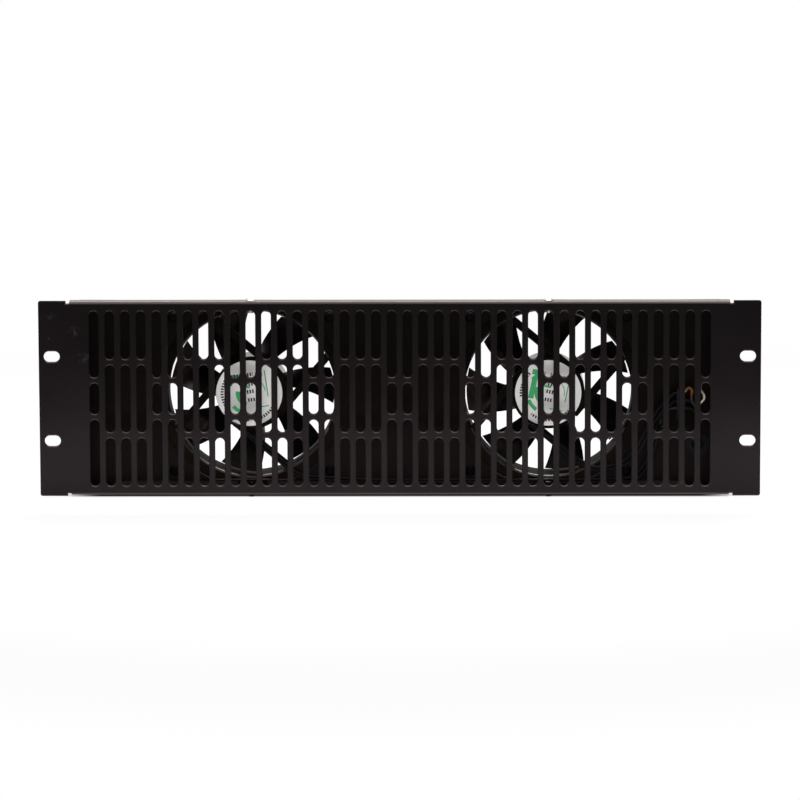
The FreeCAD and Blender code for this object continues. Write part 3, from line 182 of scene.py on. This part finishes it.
# painted highlight: a lighter colour for the frame rims that face up or down
castRimPaintedHighlight = surfaceMaterial("paintedCastRimWithHighlight", {  # the casting's edges, where the paint runs thin and glossy, and lighter as a painted highlight
    "color": "#1a1817", "lighter": "#26221f", "grainMm": 1.1, "driftMm": 18, "rough": (0.26, 0.34),
    "bump": 0.2, "bumpMm": 0.04}, **{"Specular IOR Level": 0.6, "Specular Tint": hexColor("#ffe9dc")})
bladePlastic = surfaceMaterial("glossPbtPlastic", {  # glass-filled PBT from a polished mould: glossy black
    "color": "#070606", "lighter": "#0c0b0a", "grainMm": 1.6, "driftMm": 22, "rough": (0.14, 0.21),
    "bump": 0.18, "bumpMm": 0.05, "dust": "#3d3933", "dustMm": 6, "dustShare": 0.06},
    **{"Specular IOR Level": 0.14, "Specular Tint": hexColor("#ffe9dc")})
zincPlate = surfaceMaterial("zincPlatedSteel", {  # bright zinc: pale bluish metal with faint clouds
    "color": "#a9adb2", "lighter": "#d3d6d8", "grainMm": 0.5, "driftMm": 3, "rough": (0.24, 0.4),
    "bump": 0.2, "bumpMm": 0.02}, Metallic=1.0)
blackZinc = surfaceMaterial("blackPassivatedSteel", {  # black chromate over zinc: dark metal, slightly brown
    "color": "#0b0a09", "lighter": "#141210", "grainMm": 0.5, "driftMm": 3, "rough": (0.3, 0.45),
    "bump": 0.25, "bumpMm": 0.02}, Metallic=1.0)
rubber = surfaceMaterial("nitrileRubber", {  # moulded rubber: matt, faint bloom
    "color": "#0b0b0b", "lighter": "#141413", "grainMm": 0.5, "driftMm": 6, "rough": (0.6, 0.75),
    "bump": 0.35, "bumpMm": 0.04}, **{"Specular IOR Level": 0.1})
blockNylon = surfaceMaterial("blackNylon", {  # moulded polyamide: spark-eroded satin
    "color": "#0c0c0d", "lighter": "#151517", "grainMm": 0.4, "driftMm": 7, "rough": (0.45, 0.6),
    "bump": 0.4, "bumpMm": 0.03}, **{"Specular IOR Level": 0.15})
brass = surfaceMaterial("machinedBrass", {  # turned brass, slightly tarnished
    "color": "#a8823c", "lighter": "#cfae62", "grainMm": 0.4, "driftMm": 4, "rough": (0.22, 0.4),
    "bump": 0.2, "bumpMm": 0.02}, Metallic=1.0)
bronze = surfaceMaterial("sinteredBronze", {  # porous oil-filled bronze: dull brown grain
    "color": "#7a5230", "lighter": "#9c7048", "grainMm": 0.25, "driftMm": 3, "rough": (0.45, 0.6),
    "bump": 0.5, "bumpMm": 0.03}, Metallic=1.0)
coreSteel = surfaceMaterial("laminatedCoreSteel", {  # stacked, lightly oxidised electrical steel
    "color": "#6d7178", "lighter": "#8f949a", "grainMm": 0.5, "driftMm": 5, "rough": (0.35, 0.5),
    "bump": 0.3, "bumpMm": 0.03}, Metallic=1.0)
copper = surfaceMaterial("enamelledCopper", {  # copper wire under amber enamel
    "color": "#8a3f1c", "lighter": "#b8632f", "grainMm": 0.35, "driftMm": 3, "rough": (0.25, 0.4),
    "bump": 0.6, "bumpMm": 0.06}, Metallic=0.8)
groundSteel = surfaceMaterial("groundShaftSteel", {  # ground and polished shaft
    "color": "#9da1a6", "lighter": "#c9cccf", "grainMm": 0.3, "driftMm": 4, "rough": (0.15, 0.28),
    "bump": 0.15, "bumpMm": 0.01}, Metallic=1.0)
ivoryNylon = surfaceMaterial("naturalNylon", {  # undyed polyamide tie: warm white, slightly waxy
    "color": "#d9cdb0", "lighter": "#ece4cf", "grainMm": 0.6, "driftMm": 8, "rough": (0.35, 0.5),
    "bump": 0.3, "bumpMm": 0.03, "paintedShadeBands": [(-9.0, -9.1, "#131211"), (-0.5, 4.0, "#3b362e")]},
    **{"Specular IOR Level": 0.3})   # painted shade: black below z -9.1 over its loop, and darker towards the top of its tail


def sleeving(name, color, lighter, gloss, paintedShadeBands=()):  # extruded PVC: smooth and softly glossy
    return surfaceMaterial(name, {"color": color, "lighter": lighter, "grainMm": 0.8, "driftMm": 10,
                                  "rough": (0.3, 0.42), "bump": 0.15, "bumpMm": 0.03, "paintedShadeBands": paintedShadeBands},
                           **{"Specular IOR Level": gloss})


blackSleeve = sleeving("blackPvc", "#0a0909", "#131212", 0.08)
brownSleeve = sleeving("brownPvc", "#69390d", "#865017", 0.4, [
    (2.0, -0.5, "#3a1d0b"), (-3.0, -3.1, "#131212")])   # painted shade: darker from its bend down the leg, and black below, where the wire runs down into the tray's shade
blueSleeve = sleeving("bluePvc", "#132e58", "#1d3f70", 0.2)

for slotName, material in {
        "powder_coated_steel": panelCoat, "black_steel_plate": plateCoat, "zinc_steel": zincPlate,
        "black_steel_screws": blackZinc, "black_rubber": rubber, "black_nylon": blockNylon, "brass": brass,
        "bearing_bronze": bronze, "black_cast_aluminium": castPaint, "black_fan_plastic": bladePlastic,
        "core_steel": coreSteel, "coil_copper": copper, "shaft_steel": groundSteel, "black_lead": blackSleeve,
        "brown_wire": brownSleeve, "blue_wire": blueSleeve, "ivory_nylon": ivoryNylon}.items():
    for node in nodes.values():
        for place in node.material_slots:
            if place.material and place.material.name == slotName:
                place.material = material
print("surface materials done")

# earth wires: green insulation with two yellow stripes, one on each side, and painted shade that turns it
# near-black past one point
earthLook = {"green": "#1d4d24", "yellow": "#8a7f28", "stripeWay": (0.42, 0.78, 0.46), "stripe": 0.62,
             "paintedShadeFromMm": 176.5, "paintedShadeTone": 0.012, "rough": 0.36, "soilMm": 3, "soilDetail": 4.0,
             "soilDullest": 0.8, "bump": 0.2, "bumpMm": 0.03}


def earthMaterial(name):
    material, tree, shader, place = startMaterial(name, Roughness=earthLook["rough"])
    facing = addNode(tree, "ShaderNodeNewGeometry").outputs["Normal"]
    across = addNode(tree, "ShaderNodeVectorMath", {0: facing, 1: earthLook["stripeWay"]},
                     operation="DOT_PRODUCT").outputs["Value"]
    aside = addNode(tree, "ShaderNodeMath", {0: across}, operation="ABSOLUTE").outputs[0]
    stripe = addNode(tree, "ShaderNodeMath", {0: aside, 1: earthLook["stripe"]},
                     operation="GREATER_THAN").outputs[0]
    streak = addNode(tree, "ShaderNodeMix", {"Factor": stripe, 6: hexColor(earthLook["green"]),
                                             7: hexColor(earthLook["yellow"])}, data_type="RGBA").outputs[2]
    soil = addNode(tree, "ShaderNodeTexNoise", {"Vector": place, "Scale": perMetre(earthLook["soilMm"]),
                                                "Detail": earthLook["soilDetail"]}).outputs["Fac"]
    dull = addNode(tree, "ShaderNodeMapRange", {"Value": soil, "To Min": earthLook["soilDullest"],
                                                "To Max": 1.0}).outputs[0]
    # painted shade: past x 176.5 mm the wire turns near-black
    along = addNode(tree, "ShaderNodeSeparateXYZ", {0: place}).outputs["X"]
    beforePaintedShade = addNode(tree, "ShaderNodeMath", {0: along, 1: earthLook["paintedShadeFromMm"] * mm},
                   operation="LESS_THAN").outputs[0]
    shown = addNode(tree, "ShaderNodeMath", {0: dull, 1: beforePaintedShade}, operation="MULTIPLY").outputs[0]
    shown = addNode(tree, "ShaderNodeMath", {0: shown, 1: earthLook["paintedShadeTone"]},
                    operation="MAXIMUM").outputs[0]
    worn = addNode(tree, "ShaderNodeVectorMath", {0: streak, "Scale": shown}, operation="SCALE").outputs[0]
    tree.links.new(worn, shader.inputs["Base Color"])
    skin = addNode(tree, "ShaderNodeBump", {"Height": soil, "Strength": earthLook["bump"],
                                            "Distance": earthLook["bumpMm"] * mm})
    tree.links.new(skin.outputs["Normal"], shader.inputs["Normal"])
    return material


earthSleeve = earthMaterial("greenYellowPvc")
for name in ("chassis_earth_wire", "supply_earth_wire"):
    nodes[name].material_slots[0].material = earthSleeve

# fixings and ferrules that differ from their slot's bright zinc
for name in ("clamp_screws", "block_screw", "block_nut", "earth_nut", "flange_nuts"):
    nodes[name].material_slots[0].material = blackZinc
nodes["flange_screws"].material_slots[0].material = surfaceMaterial("zincPlatedScrews", {
    # bright zinc at the top of the tray, and painted dark below z -41 mm as painted shade at its foot
    "color": "#a9a49f", "lighter": "#cfcac4", "grainMm": 0.5, "driftMm": 3, "rough": (0.3, 0.45),
    "bump": 0.2, "bumpMm": 0.02, "paintedShadeBands": [(-40.0, -41.0, "#161412")]}, Metallic=1.0)
nodes["wire_ferrules"].material_slots[0].material = surfaceMaterial("tinnedFerrules", {
    # tinned copper tubes; below z -1.9 they are painted black as painted shade, which darkens the two lower
    # ones
    "color": "#9a9d9f", "lighter": "#b9bcbe", "grainMm": 0.4, "driftMm": 2, "rough": (0.3, 0.42),
    "bump": 0.2, "bumpMm": 0.02, "paintedShadeBands": [(-1.8, -1.9, "#141413")]}, Metallic=0.6)

# fan labels: silver foil printed with plain rings, bars and ticks, and no words; millimetres from the middle
labelLook = {
    "foil": "#efecea", "green": "#52bd7d", "ink": "#232222",
    # inner and outer radius, then middle and half of the angle
    "rings": [(6.0, 9.2, 3.6, 0.75), (10.6, 11.2, 0.0, 1.0), (12.6, 15.2, 2.3, 0.34), (12.6, 15.2, 4.0, 0.3)],
    # middle, width and height
    "bars": {"left": [], "right": [(-10.8, 1.5, 3.6, 15.0)],
             "both": [(12.3, 5.0, 0.8, 18.0), (7.5, -10.2, 9.0, 0.8), (-1.2, 4.2, 4.6, 1.6),
                      (-10.4, 12.2, 6.0, 3.6)]},
    # a row's ends, its height and the ticks' own
    "ticks": [(-9.0, -4.6, 12.6, 2.2), (-2.4, 3.6, 6.0, 2.4), (-2.4, 3.8, 1.0, 2.6), (-2.0, 3.6, -4.6, 2.4),
              (5.4, 11.0, 12.0, 2.6), (-1.0, 4.4, 12.6, 2.4)],
    # inner and outer radius, then middle and half of the angle
    "rimTicks": [(17.2, 19.2, 3.0, 0.5), (17.4, 19.4, 5.35, 0.55), (17.4, 19.2, 4.45, 0.2)],
    "halfPitch": 0.9, "rimHalfPitch": 0.05, "tickStart": 0.42,   # the rim's pitch is in radians
    "turn": {"left": 8, "right": -12}, "metallic": 0.85, "foilRough": 0.34, "inkRough": 0.5,
    "brushAcross": 120, "brushAlong": 4000, "brushDetail": 2.0, "bump": 0.12, "bumpMm": 0.02}


def labelMaterial(side):
    low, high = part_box(side + "_fan_label")
    material, tree, shader, place = startMaterial(side + "LabelFoil", Metallic=labelLook["metallic"])
    moved = addNode(tree, "ShaderNodeVectorMath", {0: place, 1: tuple((low + high) / 2)},
                    operation="SUBTRACT").outputs[0]
    turned = addNode(tree, "ShaderNodeMapping", {
        "Vector": moved, "Rotation": (0, math.radians(labelLook["turn"][side]), 0),
        "Scale": (1 / mm, 1 / mm, 1 / mm)}).outputs["Vector"]
    parts = addNode(tree, "ShaderNodeSeparateXYZ", {0: turned}).outputs
    x, z = parts["X"], parts["Z"]
    flat = addNode(tree, "ShaderNodeCombineXYZ", {"X": x, "Z": z}).outputs[0]
    radius = addNode(tree, "ShaderNodeVectorMath", {0: flat}, operation="LENGTH").outputs["Value"]
    angle = addNode(tree, "ShaderNodeMath", {0: z, 1: x}, operation="ARCTAN2").outputs[0]
    angle = addNode(tree, "ShaderNodeMath", {0: angle, 1: 0.0, 2: 2 * math.pi}, operation="WRAP").outputs[0]

    def printedPatch(first, second, halfPitch=None):
        # 1 where both values lie within reach of their middles, cut into ticks along the second one
        share = 1.0
        for value, middle, reach in (first, second):
            inside = addNode(tree, "ShaderNodeMath", {0: value, 1: middle, 2: reach},
                             operation="COMPARE").outputs[0]
            share = addNode(tree, "ShaderNodeMath", {0: inside, 1: share}, operation="MULTIPLY").outputs[0]
        if halfPitch:
            cycle = addNode(tree, "ShaderNodeMath", {0: second[0], 1: halfPitch},
                            operation="PINGPONG").outputs[0]
            tick = addNode(tree, "ShaderNodeMath", {0: cycle, 1: labelLook["tickStart"] * halfPitch},
                           operation="GREATER_THAN").outputs[0]
            share = addNode(tree, "ShaderNodeMath", {0: share, 1: tick}, operation="MULTIPLY").outputs[0]
        return share

    patches = [("green", printedPatch((radius, (inner + outer) / 2, (outer - inner) / 2),
                                      (angle, middle, reach)))
               for inner, outer, middle, reach in labelLook["rings"]]
    patches += [("green", printedPatch((z, barZ, height / 2), (x, barX, width / 2)))
                for barX, barZ, width, height in labelLook["bars"]["both"] + labelLook["bars"][side]]
    patches += [("ink", printedPatch((z, level, tall / 2), (x, (start + stop) / 2, (stop - start) / 2),
                                     labelLook["halfPitch"]))
                for start, stop, level, tall in labelLook["ticks"]]
    patches += [("ink", printedPatch((radius, (inner + outer) / 2, (outer - inner) / 2),
                                     (angle, middle, reach), labelLook["rimHalfPitch"]))
                for inner, outer, middle, reach in labelLook["rimTicks"]]
    tone, printed = hexColor(labelLook["foil"]), 0.0
    for ink, share in patches:
        tone = addNode(tree, "ShaderNodeMix", {"Factor": share, 6: tone, 7: hexColor(labelLook[ink])},
                       data_type="RGBA").outputs[2]
        printed = addNode(tree, "ShaderNodeMath", {0: printed, 1: share}, operation="MAXIMUM").outputs[0]
    tree.links.new(tone, shader.inputs["Base Color"])
    sheen = addNode(tree, "ShaderNodeMapRange", {   # the ink dulls the foil under it
        "Value": printed, "To Min": labelLook["foilRough"], "To Max": labelLook["inkRough"]}).outputs[0]
    tree.links.new(sheen, shader.inputs["Roughness"])
    brushed = addNode(tree, "ShaderNodeMapping", {
        "Vector": moved, "Scale": (labelLook["brushAcross"], labelLook["brushAcross"],
                                   labelLook["brushAlong"])}).outputs["Vector"]
    grain = addNode(tree, "ShaderNodeTexNoise", {"Vector": brushed, "Scale": 1.0,
                                                 "Detail": labelLook["brushDetail"]}).outputs["Fac"]
    skin = addNode(tree, "ShaderNodeBump", {"Height": grain, "Strength": labelLook["bump"],
                                            "Distance": labelLook["bumpMm"] * mm})
    tree.links.new(skin.outputs["Normal"], shader.inputs["Normal"])
    return material


for side in ("left", "right"):
    nodes[side + "_fan_label"].material_slots[0].material = labelMaterial(side)
print("wire and label materials done")

# panel, plate and fan frames: the CAD shapes with their punched or cast edges eased, as the coat leaves them
# the rims that face up or down and the flange's top get a lighter coat, as painted highlight
easeLook = {"mergeMm": 0.002, "flatDegrees": 0.6, "sharpDegrees": 40, "planeMm": 0.01, "segments": 2,
            # the painted highlight goes on an eased rim that faces partly up or down, and on a flange's top,
            # which faces straight up
            "highlightRimFront": (0.2, 0.97), "highlightRimUp": 0.3, "highlightTopUp": 0.9}
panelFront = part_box("front_panel")[0].y   # its rear face is at zero
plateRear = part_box("fan_plate")[1].y
panelLook = {"easeMm": 0.8, "planes": [panelFront], "topMm": 2}   # its flange is this close to the top
plateLook = {"easeMm": 0.6, "planes": [plateRear + panelFront, plateRear], "topMm": 0}
frameLook = {"easeMm": 0.5, "planes": [plateRear, cadBox[1].y], "topMm": 0}


def easedCopy(node, name, look, coat, highlightCoat):
    bm = bmesh.new()
    bm.from_mesh(nodes[node].data)
    bmesh.ops.remove_doubles(bm, verts=bm.verts, dist=easeLook["mergeMm"] * mm)
    bmesh.ops.dissolve_limit(bm, angle_limit=math.radians(easeLook["flatDegrees"]), verts=bm.verts,
                             edges=bm.edges)
    rims = [edge for edge in bm.edges if len(edge.link_faces) == 2
            and edge.calc_face_angle(0) > math.radians(easeLook["sharpDegrees"])
            and any(all(abs(vert.co.y - level) < easeLook["planeMm"] * mm for vert in edge.verts)
                    for level in look["planes"])]
    bmesh.ops.bevel(bm, geom=rims, offset=look["easeMm"] * mm, offset_type="OFFSET", affect="EDGES",
                    segments=easeLook["segments"], profile=0.5, material=-1)
    bm.normal_update()
    top = cadBox[1].z - look["topMm"] * mm
    least, most = easeLook["highlightRimFront"]
    # faces that catch the light from above or below take the second material, a painted highlight
    for face in bm.faces:
        face.smooth = True
        height = face.calc_center_median().z
        turned = least < abs(face.normal.y) < most and abs(face.normal.z) > easeLook["highlightRimUp"]
        if (turned and height < top) or (face.normal.z > easeLook["highlightTopUp"] and height > top):
            face.material_index = 1
    mesh = bpy.data.meshes.new(name)
    bm.to_mesh(mesh)
    bm.free()
    mesh.materials.append(coat)
    mesh.materials.append(highlightCoat)
    piece = bpy.data.objects.new(name, mesh)
    bpy.context.scene.collection.objects.link(piece)
    piece.modifiers.new("weighted", "WEIGHTED_NORMAL").weight = 100
    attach(piece, "tray")
    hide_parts(node)


easedCopy("front_panel", "slottedPanel", panelLook, panelCoat, rimCoatPaintedHighlight)
easedCopy("fan_plate", "fanPlate", plateLook, plateCoat, rimCoatPaintedHighlight)
for side in ("left", "right"):
    easedCopy(side + "_fan_frame", side + "FanFrame", frameLook, castPaint, castRimPaintedHighlight)
print("panel, plate and fan frames done")

# floor: a white sweep with a shadow painted under and behind the tray; metres
floorLook = {
    "size": 14.0, "paper": "#f4f3f1", "white": "#ffffff", "grainMm": 4, "grainDetail": 3.0, "rough": 0.9,
    "paintedShadowUnderTray": "#171515", "paintedFalloffPaper": "#8f8c88",
    # the painted shadow's half length, front and back, then how far each of them fades
    "shade": (0.2, 0.0045, 0.06), "fade": (0.04, 0.006, 0.045),
    "nearWhite": 0.85, "poolEdge": (0.15, 0.5)}   # the lamp's pool ends this far past the tray's ends


def seenShare(tree):  # 1 for what the eye sees, also in a mirror or through glass
    paths = addNode(tree, "ShaderNodeLightPath").outputs
    seen = addNode(tree, "ShaderNodeMath", {0: paths["Is Camera Ray"], 1: paths["Is Glossy Ray"]},
                   operation="ADD").outputs[0]
    return addNode(tree, "ShaderNodeMath", {0: seen, 1: paths["Is Transmission Ray"]}, operation="ADD",
                   use_clamp=True).outputs[0]


def floorMaterial():
    material, tree, shader, place = startMaterial("paperSweep", Roughness=floorLook["rough"],
                                                  **{"Specular IOR Level": 0.0})
    grain = addNode(tree, "ShaderNodeTexNoise", {"Vector": place, "Scale": perMetre(floorLook["grainMm"]),
                                                 "Detail": floorLook["grainDetail"]}).outputs["Fac"]
    paper = addNode(tree, "ShaderNodeMix", {"Factor": grain, 6: hexColor(floorLook["paper"]),
                                            7: hexColor(floorLook["white"])}, data_type="RGBA").outputs[2]
    # how far outside the painted shadow's box a point lies, in lengths of each side's fade
    parts = addNode(tree, "ShaderNodeSeparateXYZ", {0: place}).outputs
    halfLength, front, rear = floorLook["shade"]
    sideways = addNode(tree, "ShaderNodeMath", {0: parts["X"]}, operation="ABSOLUTE").outputs[0]
    forward = addNode(tree, "ShaderNodeMath", {0: parts["Y"], 1: -1.0}, operation="MULTIPLY").outputs[0]
    past = [addNode(tree, "ShaderNodeMapRange", {"Value": value, "From Min": edge, "From Max": edge + fade,
                                                 "To Max": 1.0}, clamp=False).outputs[0]
            for value, edge, fade in zip((sideways, forward, parts["Y"]), (halfLength, -front, rear),
                                         floorLook["fade"])]
    aside = addNode(tree, "ShaderNodeCombineXYZ", {0: past[0], 1: past[1], 2: past[2]}).outputs[0]
    aside = addNode(tree, "ShaderNodeVectorMath", {0: aside, 1: (0, 0, 0)}, operation="MAXIMUM").outputs[0]
    away = addNode(tree, "ShaderNodeVectorMath", {0: aside}, operation="LENGTH").outputs["Value"]
    pastPaintedShadow = addNode(tree, "ShaderNodeMapRange", {"Value": away},
                      interpolation_type="SMOOTHSTEP").outputs[0]
    # painted fall-off: the paper turns grey past the lamp's pool
    reach = addNode(tree, "ShaderNodeVectorMath", {0: place}, operation="LENGTH").outputs["Value"]
    start, stop = (cadBox[1].x + edge for edge in floorLook["poolEdge"])
    distant = addNode(tree, "ShaderNodeMapRange", {"Value": reach, "From Min": start, "From Max": stop},
                      interpolation_type="SMOOTHSTEP").outputs[0]
    paper = addNode(tree, "ShaderNodeMix", {"Factor": distant, 6: paper, 7: hexColor(floorLook["paintedFalloffPaper"])},
                    data_type="RGBA").outputs[2]
    # painted shadow: the paper turns dark inside the box under and behind the tray
    paper = addNode(tree, "ShaderNodeMix", {"Factor": pastPaintedShadow, 6: hexColor(floorLook["paintedShadowUnderTray"]),
                                            7: paper}, data_type="RGBA").outputs[2]
    tree.links.new(paper, shader.inputs["Base Color"])
    # white to the eye, except close to the tray, where the floor shows its painted shadow and the lamps' own
    # shade
    most = addNode(tree, "ShaderNodeMapRange", {"Value": distant,
                                                "To Min": floorLook["nearWhite"]}).outputs[0]
    white = addNode(tree, "ShaderNodeMath", {0: pastPaintedShadow, 1: most}, operation="MULTIPLY").outputs[0]
    share = addNode(tree, "ShaderNodeMath", {0: seenShare(tree), 1: white}, operation="MULTIPLY").outputs[0]
    glow = addNode(tree, "ShaderNodeEmission", {"Color": hexColor(floorLook["white"]), "Strength": 1.0})
    mixed = addNode(tree, "ShaderNodeMixShader", {0: share, 1: shader.outputs["BSDF"], 2: glow.outputs[0]})
    output = next(node for node in tree.nodes if node.type == "OUTPUT_MATERIAL")
    tree.links.new(mixed.outputs[0], output.inputs["Surface"])
    return material


bm = bmesh.new()
bmesh.ops.create_grid(bm, x_segments=2, y_segments=2, size=floorLook["size"] / 2,
                      matrix=Matrix.Translation((0, 0, cadBox[0].z)))
mesh = bpy.data.meshes.new("floor")
bm.to_mesh(mesh)
bm.free()
mesh.materials.append(floorMaterial())
floor = bpy.data.objects.new("floor", mesh)
bpy.context.scene.collection.objects.link(floor)

# world and lamps: white to the eye, and dim as a light; a wide soft lamp above, a low strip and one behind
studioLook = {
    "world": "#ffffff", "worldStrength": 0.05,
    "lamps": {
        "topLamp": {"watts": 23, "size": (1.6, 1.0), "place": (0, -0.15, 1.5), "target": (0, 0, 0)},
        "lowFrontLamp": {"watts": 0.58, "size": (1.0, 0.03), "place": (0, -0.06, -0.05),
                         "target": (0, 0, -0.05), "mirrored": False},
        "rearLamp": {"watts": 22, "size": (1.2, 0.6), "place": (0.1, 0.95, 1.15), "target": (0, 0, 0)}}}

world = bpy.data.worlds.new("studio")
bpy.context.scene.world = world
world.use_nodes = True
world.node_tree.nodes.clear()
strength = addNode(world.node_tree, "ShaderNodeMapRange", {
    "Value": seenShare(world.node_tree), "To Min": studioLook["worldStrength"], "To Max": 1.0}).outputs[0]
sky = addNode(world.node_tree, "ShaderNodeBackground", {"Color": hexColor(studioLook["world"]),
                                                        "Strength": strength})
addNode(world.node_tree, "ShaderNodeOutputWorld", {"Surface": sky.outputs[0]})

for name, look in studioLook["lamps"].items():
    lamp = bpy.data.lights.new(name, "AREA")
    lamp.energy, lamp.shape, (lamp.size, lamp.size_y) = look["watts"], "RECTANGLE", look["size"]
    holder = bpy.data.objects.new(name, lamp)
    bpy.context.scene.collection.objects.link(holder)
    holder.location = look["place"]
    holder.visible_camera = False
    holder.visible_glossy = look.get("mirrored", True)
    aim = Vector(look["target"]) - Vector(look["place"])
    holder.rotation_euler = aim.to_track_quat("-Z", "Y").to_euler()
print("stage and lamps done")

# camera: a long lens from a little above, all but square on
cameraLook = {"lens": 249.98, "distance": 3.716, "azimuth": 0.805, "elevation": 9.945, "roll": -0.189,
              "aim": (0.000189, 0.0, -0.001175), "clipEnd": 100}   # millimetres, metres and degrees
azimuth, elevation = math.radians(cameraLook["azimuth"]), math.radians(cameraLook["elevation"])
back = Vector((math.sin(azimuth) * math.cos(elevation), -math.cos(azimuth) * math.cos(elevation),
               math.sin(elevation)))
camera = bpy.data.objects.new("camera", bpy.data.cameras.new("camera"))
bpy.context.scene.collection.objects.link(camera)
camera.data.lens = cameraLook["lens"]
camera.data.clip_end = cameraLook["clipEnd"]
camera.location = Vector(cameraLook["aim"]) + back * cameraLook["distance"]
camera.rotation_mode = "QUATERNION"
camera.rotation_quaternion = ((-back).to_track_quat("-Z", "Y")
                              @ Matrix.Rotation(math.radians(cameraLook["roll"]), 3, "Z").to_quaternion())
bpy.context.scene.camera = camera
bpy.context.scene.view_settings.view_transform = "Standard"
print("camera done")
